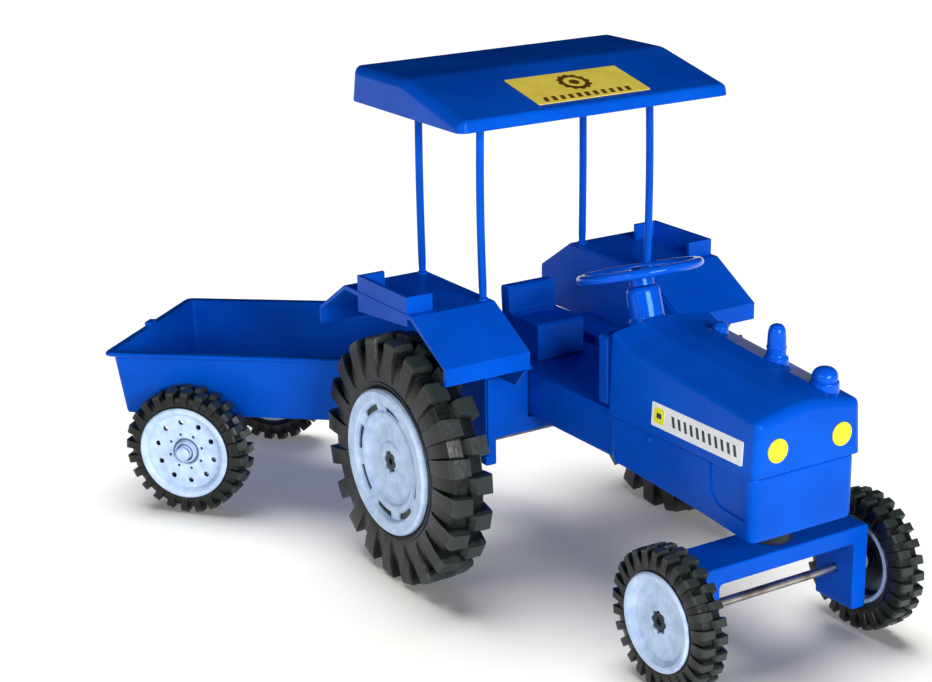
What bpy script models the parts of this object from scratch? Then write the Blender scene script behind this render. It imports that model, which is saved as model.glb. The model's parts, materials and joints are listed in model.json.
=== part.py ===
"""Toy tractor with a canopy and a tipping-style open trailer.

The tractor faces -Y and stands on z = 0. Its right side is -X. Lengths below are in
millimetres and are scaled once, by MM, as the mesh points are written.
"""
import bpy
import bmesh
import math
from mathutils import Vector

MM = 0.001
GAP = 0.3

# Where the rear axle's middle stands, so that the whole toy is centred on the origin.
SHIFT_X = 37.879
SHIFT_Y = -23.179

# Wheels
REAR_R = 60.0
REAR_TYRE_W = 23.0
REAR_RIM_R = 35.3
REAR_HUB_X = 87.6
REAR_SLIDE = -8.0  # how far the loose rear axle rod has slid to the right
REAR_LUGS = 20
REAR_LUG_H = 5.5
FRONT_R = 32.0
FRONT_TYRE_W = 14.0
FRONT_RIM_R = 22.0
FRONT_HUB_X = 61.0
FRONT_LUGS = 26
FRONT_LUG_H = 2.6
FRONT_AXLE_Y = -161.0
TRAILER_R = 33.2
TRAILER_TYRE_W = 16.0
TRAILER_RIM_R = 24.4
TRAILER_HUB_X = 63.0
TRAILER_LUGS = 24
TRAILER_LUG_H = 2.6
AXLE_R = 2.0
BORE_R = AXLE_R + GAP

# Body
BODY_HALF = 28.3
BODY_REAR_HALF = 25.0
BODY_STEP_Y = (-84.0, -80.0)
BODY_FRONT_Y = -181.0
BODY_REAR_Y = 48.0
BODY_TOP_Z = 94.5
BODY_LOW_Z = 71.5
BODY_NOSE_Z = 65.5
WALL = 2.0

# Bonnet
BONNET_HALF_TOP = 28.0
BONNET_HALF_LOW = 29.5
BONNET_FRONT_Y = -183.0
BONNET_REAR_Y = -82.0
BONNET_LOW_Z = BODY_TOP_Z + GAP
BONNET_EDGE_Z = 119.5
BONNET_RISE = 0.093
RIDGE_X = 11.0
RIDGE_H = 5.5
RIDGE_H_NOSE = 3.0
NOSE_LEN = 18.0
COWL_LEN = 13.0
COWL_RISE = 4.5
STACK_X = 17.0
RAIL_Y = (-7.0, 39.0)
EXHAUST_Y = -141.0
PRECLEANER_Y = -172.0
FUEL_CAP_Y = -103.0

# Dash, column and steering wheel
DASH_HALF = 23.0
DASH_REAR_Y = -64.0
DASH_TOP_Z = 129.0
COLUMN_Y = -72.5
COLUMN_TILT = math.radians(16.0)
COLUMN_R = 8.0
COLUMN_LEN = 17.0
RING_R = 27.0
RING_TUBE = 2.3

# Seat
SEAT_HALF = 13.5
SEAT_FRONT_Y = -3.0
SEAT_BACK_Y = 22.0
SEAT_REAR_Y = 28.0
SEAT_TOP_Z = 113.0
SEAT_BACK_Z = 126.0

# Fenders
FENDER_IN = 44.0
FENDER_OUT = 89.5
FENDER_TOP_Z = 133.0
FENDER_FLAT = (-11.0, 51.0)
FENDER_TIP = (-39.0, 76.0)
FENDER_TIP_Z = 115.0
FENDER_LIP = 7.5
FENDER_T = 2.0
FENDER_FOOT_Z = 96.6
RAIL_H = 8.0
RAIL_RETURN = 14.0
SKIRT_Z = (127.0, 123.0)  # lower edge of the outer skirt, front and rear

# Canopy and posts
POST_R = 1.9
POST_X = 48.0
POST_Y = (-8.0, 47.0)
CANOPY_HALF = 76.0
CANOPY_REAR_Y = 64.0
CANOPY_FRONT_Y = -35.0
CANOPY_LOW_Z = 220.0
CANOPY_TOP_Z = 237.0
CANOPY_FLAT_Y = 12.0
CANOPY_NOSE_Z = 225.5
CANOPY_T = 1.8

# Axle brackets
FRONT_U_HALF = 45.5
FRONT_U_LEG = 8.0
FRONT_U_DEPTH = 24.0
FRONT_U_TOP = 55.3
FRONT_U_PLATE = 47.3
FRONT_U_LOW = 15.5
REAR_U_HALF = 50.0
REAR_U_LEG = 6.0
REAR_U_DEPTH = 24.0
REAR_U_TOP = 96.0
REAR_U_PLATE = 64.0
REAR_U_LOW = 51.0

# Hitch and trailer, the trailer being drawn with its hitch pin at the origin
HITCH_Y = 56.0
HITCH_SHELF_Z = 50.0
HITCH_PIN_R = 2.4
TRAILER_YAW = math.radians(40.0)
TRAILER_NOSE_UP = math.radians(3.3)
TUB_AXLE_Y = 150.5
TUB_REAR_Y = 196.5
TUB_FRONT_Y = 42.0
TUB_LOW_Z = 47.0
TUB_RIM_Z = 82.6
TUB_HALF_TOP = 48.0
TUB_HALF_LOW = 43.8
TUB_END_DRAFT = 1.5
TUB_LIP = 3.5
TUB_T = 2.0
BAR_TOP_Z = TUB_LOW_Z - GAP
BAR_T = 4.0

BLUE = (0.004, 0.06, 0.55)
HUB = (0.62, 0.75, 0.9)
TYRE = (0.015, 0.016, 0.017)
STEEL = (0.55, 0.54, 0.52)
YELLOW = (0.85, 0.78, 0.04)
WHITE = (0.85, 0.86, 0.88)
DARK = (0.02, 0.02, 0.025)


def clear_scene():
    for ob in list(bpy.data.objects):
        bpy.data.objects.remove(ob, do_unlink=True)


def material(name, colour, rough, metal=0.0):
    mat = bpy.data.materials.new(name)
    mat.use_nodes = True
    shader = mat.node_tree.nodes["Principled BSDF"]
    shader.inputs["Base Color"].default_value = (*colour, 1.0)
    shader.inputs["Roughness"].default_value = rough
    shader.inputs["Metallic"].default_value = metal
    mat.diffuse_color = (*colour, 1.0)
    return mat


def empty(name, location, rotation=(0.0, 0.0, 0.0), parent=None):
    ob = bpy.data.objects.new(name, None)
    ob.location = Vector(location) * MM
    ob.rotation_euler = rotation
    ob.parent = parent
    bpy.context.collection.objects.link(ob)
    return ob


def mesh_object(name, verts, faces, mat=None, parent=None, at=(0.0, 0.0, 0.0)):
    bm = bmesh.new()
    points = [bm.verts.new(Vector(v) * MM) for v in verts]
    for face in faces:
        bm.faces.new([points[i] for i in face])
    bmesh.ops.recalc_face_normals(bm, faces=bm.faces)
    me = bpy.data.meshes.new(name)
    bm.to_mesh(me)
    bm.free()
    ob = bpy.data.objects.new(name, me)
    ob.location = Vector(at) * MM
    ob.parent = parent
    bpy.context.collection.objects.link(ob)
    if mat:
        me.materials.append(mat)
    return ob


def loft(sections):
    """Points and faces of a solid through closed loops of equal length."""
    count = len(sections[0])
    verts = [p for loop in sections for p in loop]
    faces = []
    for k in range(len(sections) - 1):
        for i in range(count):
            j = (i + 1) % count
            faces.append((k * count + i, k * count + j, (k + 1) * count + j, (k + 1) * count + i))
    faces.append(tuple(range(count)))
    faces.append(tuple((len(sections) - 1) * count + i for i in range(count)))
    return verts, faces


def ring_loft(sections):
    """Points and faces of a ring-shaped solid through closed loops of equal length."""
    count = len(sections[0])
    total = len(sections)
    verts = [p for loop in sections for p in loop]
    faces = []
    for k in range(total):
        m = (k + 1) % total
        for i in range(count):
            j = (i + 1) % count
            faces.append((k * count + i, k * count + j, m * count + j, m * count + i))
    return verts, faces


def box(x0, x1, y0, y1, z0, z1):
    low = [(x0, y0, z0), (x1, y0, z0), (x1, y1, z0), (x0, y1, z0)]
    high = [(x0, y0, z1), (x1, y0, z1), (x1, y1, z1), (x0, y1, z1)]
    return loft([low, high])


def prism_x(outline, x0, x1):
    return loft([[(x0, y, z) for y, z in outline], [(x1, y, z) for y, z in outline]])


def prism_y(outline, y0, y1):
    return loft([[(x, y0, z) for x, z in outline], [(x, y1, z) for x, z in outline]])


def rod(radius, start, end, sides=16):
    """A round bar between two points."""
    axis = Vector(end) - Vector(start)
    turn = axis.to_track_quat("Z", "Y").to_matrix()
    loops = []
    for origin in (Vector(start), Vector(end)):
        loop = []
        for i in range(sides):
            a = 2 * math.pi * i / sides
            loop.append(origin + turn @ Vector((radius * math.cos(a), radius * math.sin(a), 0)))
        loops.append(loop)
    return loft(loops)


def turned(profile, sides, sheared=None):
    """A solid turned about Z from (radius, z) pairs, bottom to top."""
    loops = []
    for k, (radius, z) in enumerate(profile):
        loop = []
        for i in range(sides):
            a = 2 * math.pi * i / sides
            x = radius * math.cos(a)
            y = radius * math.sin(a)
            loop.append((x, y, sheared(x, y) if sheared and k == 0 else z))
        loops.append(loop)
    return loft(loops)


def turned_ring(profile, sides):
    """A ring turned about X from a closed outline of (radius, x) pairs."""
    sections = []
    for i in range(sides):
        a = 2 * math.pi * i / sides
        sections.append([(x, r * math.cos(a), r * math.sin(a)) for r, x in profile])
    return ring_loft(sections)


def combine(ob, parts, operation):
    """Join or cut solids into one closed body and drop the helpers."""
    helpers = []
    for k, (verts, faces) in enumerate(parts):
        helper = mesh_object(ob.name + "_tool_%d" % k, verts, faces)
        helper.parent = ob.parent
        helper.location = ob.location
        helper.hide_render = True
        helper.display_type = "WIRE"
        mod = ob.modifiers.new("solid_%d" % k, "BOOLEAN")
        mod.operation = operation
        mod.solver = "EXACT"
        mod.object = helper
        helpers.append(helper)
    bake(ob)
    for helper in helpers:
        bpy.data.objects.remove(helper, do_unlink=True)


def bake(ob):
    bpy.context.view_layer.update()
    graph = bpy.context.evaluated_depsgraph_get()
    me = bpy.data.meshes.new_from_object(ob.evaluated_get(graph))
    me.name = ob.name
    ob.modifiers.clear()
    ob.data = me


def bevel(ob, width, segments=2, angle=30.0):
    mod = ob.modifiers.new("edges", "BEVEL")
    mod.width = width * MM
    mod.segments = segments
    mod.limit_method = "ANGLE"
    mod.angle_limit = math.radians(angle)
    bake(ob)


def smooth(ob, angle=35.0):
    ob.data.shade_smooth()
    ob.data.set_sharp_from_angle(angle=math.radians(angle))


def arc(cx, cy, radius, a0, a1, steps):
    out = []
    for i in range(steps + 1):
        a = math.radians(a0 + (a1 - a0) * i / steps)
        out.append((cx + radius * math.cos(a), cy + radius * math.sin(a)))
    return out


# ---------------------------------------------------------------- body and bonnet

def cowl_lift(y):
    """Extra height of the bonnet's side edges where they rise to the dash."""
    return COWL_RISE * max(0.0, (y - BONNET_REAR_Y + COWL_LEN) / COWL_LEN)


def bonnet_edge_z(y):
    return BONNET_EDGE_Z + (y - BONNET_FRONT_Y) * BONNET_RISE + cowl_lift(y)


def ridge_height(y):
    share = min(1.0, (y - BONNET_FRONT_Y) / NOSE_LEN)
    return RIDGE_H_NOSE + (RIDGE_H - RIDGE_H_NOSE) * share - 0.8 * cowl_lift(y)


def bonnet_top_z(x, y):
    side = (BONNET_HALF_TOP - abs(x)) / (BONNET_HALF_TOP - RIDGE_X)
    return bonnet_edge_z(y) + ridge_height(y) * max(0.0, min(1.0, side))


def bonnet_section(y, inset, low):
    top = bonnet_edge_z(y) - inset
    crown = top + ridge_height(y)
    half_low = BONNET_HALF_LOW - inset
    half_top = BONNET_HALF_TOP - inset
    return [(-half_low, y, low), (-half_top, y, top), (-RIDGE_X, y, crown), (0.0, y, crown + 0.6),
            (RIDGE_X, y, crown), (half_top, y, top), (half_low, y, low)]


def body_section(y, half, low, high):
    return [(-half, y, low), (half, y, low), (half, y, high), (-half, y, high)]


def make_lower_body(mats, root):
    """A trough open underneath, wide below the bonnet and narrower from the dash back."""
    step = BODY_STEP_Y
    spots = ((BODY_FRONT_Y, BODY_HALF, BODY_NOSE_Z), (-140.0, BODY_HALF, 69.0), (-92.0, BODY_HALF, BODY_LOW_Z),
             (step[0], BODY_HALF, BODY_LOW_Z), (step[1], BODY_REAR_HALF, BODY_LOW_Z),
             (BODY_REAR_Y, BODY_REAR_HALF, BODY_LOW_Z))
    sections = [body_section(y, half, low, BODY_TOP_Z) for y, half, low in spots]
    ob = mesh_object("lower_body", *loft(sections), mats["blue"], root)
    bevel(ob, 1.6)
    front = BODY_FRONT_Y + WALL + 6.0
    ceiling = BODY_TOP_Z - WALL
    cut = [body_section(y, half - WALL, 50.0, ceiling) for y, half in (
        (front, BODY_HALF), (step[0], BODY_HALF), (step[1], BODY_REAR_HALF), (BODY_REAR_Y - WALL, BODY_REAR_HALF))]
    combine(ob, [loft(cut)], "DIFFERENCE")
    smooth(ob)


def make_bonnet(mats, root):
    stations = [BONNET_FRONT_Y, BONNET_FRONT_Y + NOSE_LEN, BONNET_REAR_Y - COWL_LEN, BONNET_REAR_Y]
    outer = [bonnet_section(y, 0.0, BONNET_LOW_Z) for y in stations]
    ob = mesh_object("bonnet", *loft(outer), mats["blue"], root)
    bevel(ob, 1.4, 2, 25.0)
    inner_at = [BONNET_FRONT_Y + WALL, BONNET_FRONT_Y + NOSE_LEN, BONNET_REAR_Y - COWL_LEN,
                BONNET_REAR_Y - WALL]
    inner = [bonnet_section(y, WALL, BODY_TOP_Z - 5.0) for y in inner_at]
    combine(ob, [loft(inner)], "DIFFERENCE")
    smooth(ob)


def make_bonnet_fittings(mats, root):
    def seat_on_bonnet(cx, cy):
        base = bonnet_top_z(cx, cy) + 1.5 * GAP
        return base, lambda x, y: bonnet_top_z(cx + x, cy + y) + 1.5 * GAP - base

    base, slope = seat_on_bonnet(STACK_X, EXHAUST_Y)
    profile = [(5.4, 0.0), (5.4, 2.4), (4.2, 4.0), (3.9, 13.0), (3.2, 15.4), (1.6, 16.6)]
    ob = mesh_object("exhaust_pipe", *turned(profile, 18, slope), mats["blue"], root, (STACK_X, EXHAUST_Y, base))
    smooth(ob)
    base, slope = seat_on_bonnet(STACK_X, PRECLEANER_Y)
    profile = [(6.2, 0.0), (6.2, 3.4), (5.6, 4.6), (5.2, 6.6), (3.6, 8.2), (1.6, 8.9)]
    ob = mesh_object("precleaner_cap", *turned(profile, 18, slope), mats["blue"], root,
                     (STACK_X, PRECLEANER_Y, base))
    smooth(ob)
    base, slope = seat_on_bonnet(STACK_X, FUEL_CAP_Y)
    profile = [(3.6, 0.0), (3.6, 2.6), (2.8, 3.8), (1.4, 4.3)]
    ob = mesh_object("fuel_cap", *turned(profile, 14, slope), mats["blue"], root, (STACK_X, FUEL_CAP_Y, base))
    smooth(ob)


def make_lamps(mats, root):
    for side, name in ((-1, "headlight_right"), (1, "headlight_left")):
        centre = Vector((side * 17.5, BONNET_FRONT_Y - GAP, 106.5))
        verts, faces = rod(5.2, centre, centre - Vector((0, 0.8, 0)), 24)
        mesh_object(name, verts, faces, mats["yellow"], root)


def make_side_labels(mats, root):
    z0, z1 = 99.4, 110.2
    for side, name in ((-1, "side_label_right"), (1, "side_label_left")):
        def skin(z, out):
            drop = (BONNET_EDGE_Z - z) / (BONNET_EDGE_Z - BONNET_LOW_Z)
            half = BONNET_HALF_TOP + (BONNET_HALF_LOW - BONNET_HALF_TOP) * drop
            return side * (half + GAP + out)
        front = [(skin(z0, 0), -175.0, z0), (skin(z0, 0.4), -175.0, z0),
                 (skin(z1, 0.4), -175.0, z1), (skin(z1, 0), -175.0, z1)]
        rear = [(x, -113.8, z) for x, _, z in front]
        mesh_object(name, *loft([front, rear]), mats["white"], root)


def make_dash(mats, root):
    outline = [(BONNET_REAR_Y + GAP, BODY_TOP_Z + GAP), (DASH_REAR_Y, BODY_TOP_Z + GAP),
               (DASH_REAR_Y, DASH_TOP_Z - 2.0), (BONNET_REAR_Y + GAP, DASH_TOP_Z)]
    ob = mesh_object("dash_panel", *prism_x(outline, -DASH_HALF, DASH_HALF), mats["blue"], root)
    bevel(ob, 1.5)
    hollow = box(-DASH_HALF + WALL, DASH_HALF - WALL, BONNET_REAR_Y + GAP + WALL, DASH_REAR_Y - WALL,
                 BODY_TOP_Z - 2.0, DASH_TOP_Z - 2.0 - WALL)
    combine(ob, [hollow], "DIFFERENCE")
    smooth(ob)


def column_frame(root):
    place = (0.0, COLUMN_Y, DASH_TOP_Z - 0.2)
    return empty("column_axis", place, (-COLUMN_TILT, 0.0, 0.0), root)


def make_column(mats, axis):
    profile = [(COLUMN_R + 0.6, 2.2), (COLUMN_R + 0.3, 4.0), (COLUMN_R, COLUMN_LEN), (COLUMN_R - 1.2, COLUMN_LEN + 1.2)]
    ob = mesh_object("steering_column", *turned(profile, 24), mats["blue"], axis)
    smooth(ob)


def make_steering_wheel(mats, axis):
    lift = COLUMN_LEN + 1.2 + GAP
    height = lift + 6.5
    sections = []
    for i in range(32):
        a = 2 * math.pi * i / 32
        loop = []
        for j in range(6):
            b = 2 * math.pi * j / 6
            r = RING_R + RING_TUBE * math.cos(b)
            loop.append((r * math.cos(a), r * math.sin(a), height + RING_TUBE * math.sin(b)))
        sections.append(loop)
    ob = mesh_object("steering_wheel", *ring_loft(sections), mats["blue"], axis)
    parts = [turned([(5.5, lift), (5.5, height), (4.0, height + 1.6)], 18)]
    for k in range(3):
        a = math.radians(90.0 + 120.0 * k)
        d = Vector((math.cos(a), math.sin(a), 0.0))
        n = Vector((-math.sin(a), math.cos(a), 0.0)) * 2.4
        near = d * 3.0
        far = d * (RING_R - 0.3)
        low = [near - n, far - n, far + n, near + n]
        loops = [[p + Vector((0, 0, height - 1.1)) for p in low], [p + Vector((0, 0, height + 1.0)) for p in low]]
        parts.append(loft(loops))
    combine(ob, parts, "UNION")
    smooth(ob)


def make_seat(mats, root):
    base = BODY_TOP_Z + GAP
    outline = [(SEAT_FRONT_Y, base), (SEAT_REAR_Y, base), (SEAT_REAR_Y + 2.0, SEAT_BACK_Z),
               (SEAT_BACK_Y + 1.0, SEAT_BACK_Z), (SEAT_BACK_Y, SEAT_TOP_Z - 0.8), (SEAT_FRONT_Y, SEAT_TOP_Z)]
    ob = mesh_object("seat", *prism_x(outline, -SEAT_HALF, SEAT_HALF), mats["blue"], root)
    bevel(ob, 1.6)
    smooth(ob)


# ---------------------------------------------------------------- fenders and canopy

def sheet_path(grow):
    """Side view of the bent fender sheet; grow moves it outward from the wheel."""
    f, r = FENDER_FLAT
    tf, tr = FENDER_TIP
    low = FENDER_TIP_Z - FENDER_LIP
    return [(tf - grow, low), (tf - grow, FENDER_TIP_Z + grow * 0.4), (f - grow * 0.35, FENDER_TOP_Z - FENDER_T + grow),
            (r + grow * 0.35, FENDER_TOP_Z - FENDER_T + grow), (tr + grow, FENDER_TIP_Z + grow * 0.4), (tr + grow, low)]


def make_fender(mats, root, side, name):
    def across(outline, a, b):
        return prism_x(outline, side * a, side * b)

    outer = sheet_path(FENDER_T)
    inner = sheet_path(0.0)
    sheet = outer + inner[::-1]
    ob = mesh_object(name, *across(sheet, FENDER_IN, FENDER_OUT), mats["blue"], root)
    low = FENDER_TIP_Z - FENDER_LIP
    foot = FENDER_FOOT_Z
    f, r = FENDER_FLAT
    tf, tr = FENDER_TIP
    wall = [(tf - 1.0, low + 0.5), (tf - 1.0, FENDER_TIP_Z), (f, FENDER_TOP_Z - 1.0), (r, FENDER_TOP_Z - 1.0),
            (tr + 1.0, FENDER_TIP_Z), (tr + 1.0, foot), (-30.0, foot)]
    parts = [across(wall, FENDER_IN - 0.8, FENDER_IN + 1.2)]
    parts.append(box(*sorted((side * (BODY_REAR_HALF + 0.6), side * (FENDER_IN + 0.2))), -30.0, 40.0, foot, foot + 2.0))
    top = FENDER_TOP_Z + RAIL_H
    base = FENDER_TOP_Z - 1.0
    y0, y1 = RAIL_Y
    rail_in, rail_out = FENDER_OUT - 2.4, FENDER_OUT - 0.4
    rail = [(rail_out - RAIL_RETURN, y0), (rail_out, y0), (rail_out, y1), (rail_out - RAIL_RETURN, y1),
            (rail_out - RAIL_RETURN, y1 - 2.0), (rail_in, y1 - 2.0), (rail_in, y0 + 2.0),
            (rail_out - RAIL_RETURN, y0 + 2.0)]
    parts.append(loft([[(side * x, y, base) for x, y in rail], [(side * x, y, top) for x, y in rail]]))
    skirt = [(y0, top), (y0, SKIRT_Z[0]), (y1, SKIRT_Z[1]), (y1, top)]
    parts.append(across(skirt, rail_in, rail_out))
    combine(ob, parts, "UNION")
    smooth(ob)


def make_posts(mats, root):
    top = CANOPY_TOP_Z - CANOPY_T - GAP
    spots = ((-1, 0, "post_front_right"), (1, 0, "post_front_left"), (-1, 1, "post_rear_right"), (1, 1, "post_rear_left"))
    for side, which, name in spots:
        y = POST_Y[which]
        end = canopy_under(y) - GAP - 0.4
        verts, faces = rod(POST_R, (0, 0, FENDER_TOP_Z + GAP), (0, 0, min(top, end)), 12)
        ob = mesh_object(name, verts, faces, mats["blue"], root, (side * POST_X, y, 0))
        smooth(ob)


def canopy_under(y):
    """Height of the canopy's underside, taken low across a post's width."""
    if y - POST_R >= CANOPY_FLAT_Y:
        return CANOPY_TOP_Z - CANOPY_T
    fall = (CANOPY_TOP_Z - CANOPY_NOSE_Z) / (CANOPY_FLAT_Y - CANOPY_FRONT_Y)
    return CANOPY_TOP_Z - CANOPY_T - (CANOPY_FLAT_Y - y + POST_R) * fall - 0.3


def canopy_outline(inset):
    front = CANOPY_FRONT_Y + inset
    rear = CANOPY_REAR_Y - inset
    low = CANOPY_LOW_Z - (4.0 if inset else 0.0)
    top = CANOPY_TOP_Z - inset
    return [(rear, low), (rear - 2.6, top), (CANOPY_FLAT_Y + 7.0, top), (CANOPY_FLAT_Y, top - 0.7),
            (CANOPY_FLAT_Y - 8.0, top - 2.4), (front + 1.0, CANOPY_NOSE_Z - inset), (front, low)]


def make_canopy(mats, root):
    ob = mesh_object("canopy", *prism_x(canopy_outline(0.0), -CANOPY_HALF, CANOPY_HALF), mats["blue"], root)
    bevel(ob, 1.5, 2, 35.0)
    inner = prism_x(canopy_outline(CANOPY_T), -CANOPY_HALF + CANOPY_T, CANOPY_HALF - CANOPY_T)
    combine(ob, [inner], "DIFFERENCE")
    smooth(ob)


def make_canopy_label(mats, root):
    y0, y1 = -29.0, 0.0
    fall = (CANOPY_TOP_Z - 2.4 - CANOPY_NOSE_Z) / (CANOPY_FLAT_Y - 8.0 - CANOPY_FRONT_Y - 1.0)
    z1 = CANOPY_TOP_Z - 2.4 - (CANOPY_FLAT_Y - 8.0 - y1) * fall + GAP + 0.05
    z0 = z1 - (y1 - y0) * fall
    outline = [(y0, z0), (y1, z1), (y1, z1 + 0.4), (y0, z0 + 0.4)]
    mesh_object("canopy_label", *prism_x(outline, -30.0, 33.0), mats["yellow"], root)


# ---------------------------------------------------------------- wheels

# Stations round one lug pitch: share of the pitch, left half raised, right half raised
FINE_MARKS = ((0.0, True, False), (0.42, True, False), (0.5, False, True), (0.92, False, True))
PLAIN_MARKS = ((0.0, True, False), (0.5, False, True))

def tyre_section(radius, width, bead, lug, left_up, right_up):
    """(radius, x) outline of a tyre where each half is either on a lug or between lugs."""
    left = radius if left_up else radius - lug
    right = radius if right_up else radius - lug
    half = width / 2.0
    side = bead + (radius - bead) * 0.42
    return [(bead, -half * 0.74), (side, -half), (left, -half * 0.66), (left, -0.8),
            (right, 0.8), (right, half * 0.66), (side, half), (bead, half * 0.74)]


def flange_back(radius, width, bead, flange_r):
    """How far out a rim's flange starts, just clear of the tyre's side."""
    share = (flange_r - bead) / ((radius - bead) * 0.42)
    return width / 2.0 * (0.74 + 0.26 * share) + GAP


def make_tyre(name, radius, width, bead, lugs, lug, mats, axis, marks=FINE_MARKS):
    sections = []
    pitch = 2 * math.pi / lugs
    for k in range(lugs):
        for at, left_up, right_up in marks:
            a = pitch * (k + at)
            outline = tyre_section(radius, width, bead, lug, left_up, right_up)
            sections.append([(x, r * math.cos(a), r * math.sin(a)) for r, x in outline])
    ob = mesh_object(name, *ring_loft(sections), mats["tyre"], axis)
    smooth(ob)


def make_rim(name, outline, side, mats, axis, cuts=None, sides=24):
    ob = mesh_object(name, *turned_ring([(r, side * x) for r, x in outline], sides), mats["hub"], axis)
    if cuts:
        combine(ob, cuts, "DIFFERENCE")
    smooth(ob)


def ring_of_holes(count, at, radius, side, start, sides=10):
    out = []
    for k in range(count):
        a = 2 * math.pi * (k + start) / count
        y, z = at * math.cos(a), at * math.sin(a)
        out.append(rod(radius, (side * -30.0, y, z), (side * 30.0, y, z), sides))
    return out


def ring_of_slots(count, r0, r1, spread, side):
    out = []
    for k in range(count):
        mid = 2 * math.pi * k / count + math.radians(11.0)
        loop = []
        for radius, order in ((r0, (-1, 1)), (r1, (1, -1))):
            for s in order:
                a = mid + s * spread
                loop.append((radius * math.cos(a), radius * math.sin(a)))
        out.append(loft([[(side * 30.0, y, z) for y, z in loop], [(side * -30.0, y, z) for y, z in loop]]))
    return out


def make_rear_wheel(side, word, mats, root):
    half = REAR_TYRE_W / 2
    axis = empty("rear_axis_" + word, (side * (REAR_HUB_X - half + 2.5) + REAR_SLIDE, 0.0, REAR_R), parent=root)
    bead = REAR_RIM_R - 2.6
    make_tyre("rear_tyre_" + word, REAR_R, REAR_TYRE_W, bead + GAP, REAR_LUGS, REAR_LUG_H, mats, axis)
    face = half - 2.5
    lip = flange_back(REAR_R, REAR_TYRE_W, bead, REAR_RIM_R)
    outline = [(REAR_RIM_R, lip), (REAR_RIM_R, face + 3.2), (REAR_RIM_R - 1.2, face + 4.2),
               (28.8, face + 3.4), (27.6, face), (24.4, face), (21.0, face - 3.0), (10.0, face - 2.2),
               (6.0, face - 0.6), (BORE_R, face - 0.6), (BORE_R, -half * 0.85), (5.4, -half * 0.85),
               (5.4, face - 5.0), (26.5, face - 4.2), (bead - 2.0, -half * 0.74), (bead, -half * 0.74),
               (bead, lip)]
    cuts = ring_of_slots(8, 25.2, 27.2, math.radians(12.0), side)
    make_rim("rear_rim_" + word, outline, side, mats, axis, cuts)


def make_front_wheel(side, word, mats, parent):
    half = FRONT_TYRE_W / 2
    axis = empty("front_axis_" + word, (side * (FRONT_HUB_X - half + 1.0), 0.0, 0.0), parent=parent)
    bead = FRONT_RIM_R - 2.4
    make_tyre("front_tyre_" + word, FRONT_R, FRONT_TYRE_W, bead + GAP, FRONT_LUGS, FRONT_LUG_H, mats, axis,
              PLAIN_MARKS)
    face = half - 1.0
    lip = flange_back(FRONT_R, FRONT_TYRE_W, bead, FRONT_RIM_R)
    outline = [(FRONT_RIM_R, lip), (FRONT_RIM_R, face + 1.2), (FRONT_RIM_R - 1.0, face + 2.0),
               (18.0, face + 1.6), (16.4, face - 1.4), (8.0, face - 1.8), (5.0, face - 0.8), (BORE_R, face - 0.8),
               (BORE_R, -half * 0.9), (4.8, -half * 0.9), (4.8, face - 4.0), (15.6, face - 3.6),
               (bead - 2.0, -half * 0.74), (bead, -half * 0.74), (bead, lip)]
    make_rim("front_rim_" + word, outline, side, mats, axis)


def make_trailer_wheel(side, word, mats, parent):
    half = TRAILER_TYRE_W / 2
    axis = empty("trailer_axis_" + word, (side * (TRAILER_HUB_X - half), 0.0, 0.0), parent=parent)
    bead = TRAILER_RIM_R - 2.4
    make_tyre("trailer_tyre_" + word, TRAILER_R, TRAILER_TYRE_W, bead + GAP, TRAILER_LUGS, TRAILER_LUG_H,
              mats, axis, PLAIN_MARKS)
    face = half - 1.0
    lip = flange_back(TRAILER_R, TRAILER_TYRE_W, bead, TRAILER_RIM_R)
    outline = [(TRAILER_RIM_R, lip), (TRAILER_RIM_R, face + 1.2), (TRAILER_RIM_R - 1.0, face + 2.0),
               (21.2, face + 1.4), (19.6, face - 1.8), (5.2, face - 2.2), (4.6, face - 0.2), (BORE_R, face - 0.2),
               (BORE_R, -half * 0.9), (4.8, -half * 0.9), (4.8, face - 4.6), (18.8, face - 4.2),
               (bead - 2.0, -half * 0.74), (bead, -half * 0.74), (bead, lip)]
    cuts = ring_of_holes(10, 14.8, 1.25, side, 0.3, 6)
    make_rim("trailer_rim_" + word, outline, side, mats, axis, cuts)


def make_axle(name, reach, mats, parent, at):
    ob = mesh_object(name, *rod(AXLE_R, (-reach, 0, 0), (reach, 0, 0), 16), mats["steel"], parent, at)
    smooth(ob)


def make_axle_cap(name, x, radius, side, mats, parent):
    profile = [(radius, 0.0), (radius, 1.0), (radius * 0.6, 1.8)]
    verts, faces = turned(profile, 12)
    turnedverts = [(side * (x + p[2]), p[0], p[1]) for p in verts]
    ob = mesh_object(name, turnedverts, faces, mats["dark"], parent)
    smooth(ob)


# ---------------------------------------------------------------- axle brackets

def make_front_bracket(mats, swivel):
    h, leg = FRONT_U_HALF, FRONT_U_LEG
    drop = -(FRONT_U_TOP - FRONT_U_LOW)
    plate = FRONT_U_PLATE - FRONT_U_TOP
    outline = [(-h, drop), (-h, 0.0), (h, 0.0), (h, drop), (h - leg, drop), (h - leg, plate), (-h + leg, plate),
               (-h + leg, drop)]
    depth = FRONT_U_DEPTH / 2
    ob = mesh_object("front_axle_bracket", *prism_y(outline, -depth, depth), mats["blue"], swivel)
    bevel(ob, 1.0, 1)
    axle = FRONT_R - FRONT_U_TOP
    cuts = [rod(BORE_R, (-h - 5, 0, axle), (h + 5, 0, axle), 16), rod(3.3, (0, 0, -20), (0, 0, 10), 16)]
    combine(ob, cuts, "DIFFERENCE")
    smooth(ob)


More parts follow.
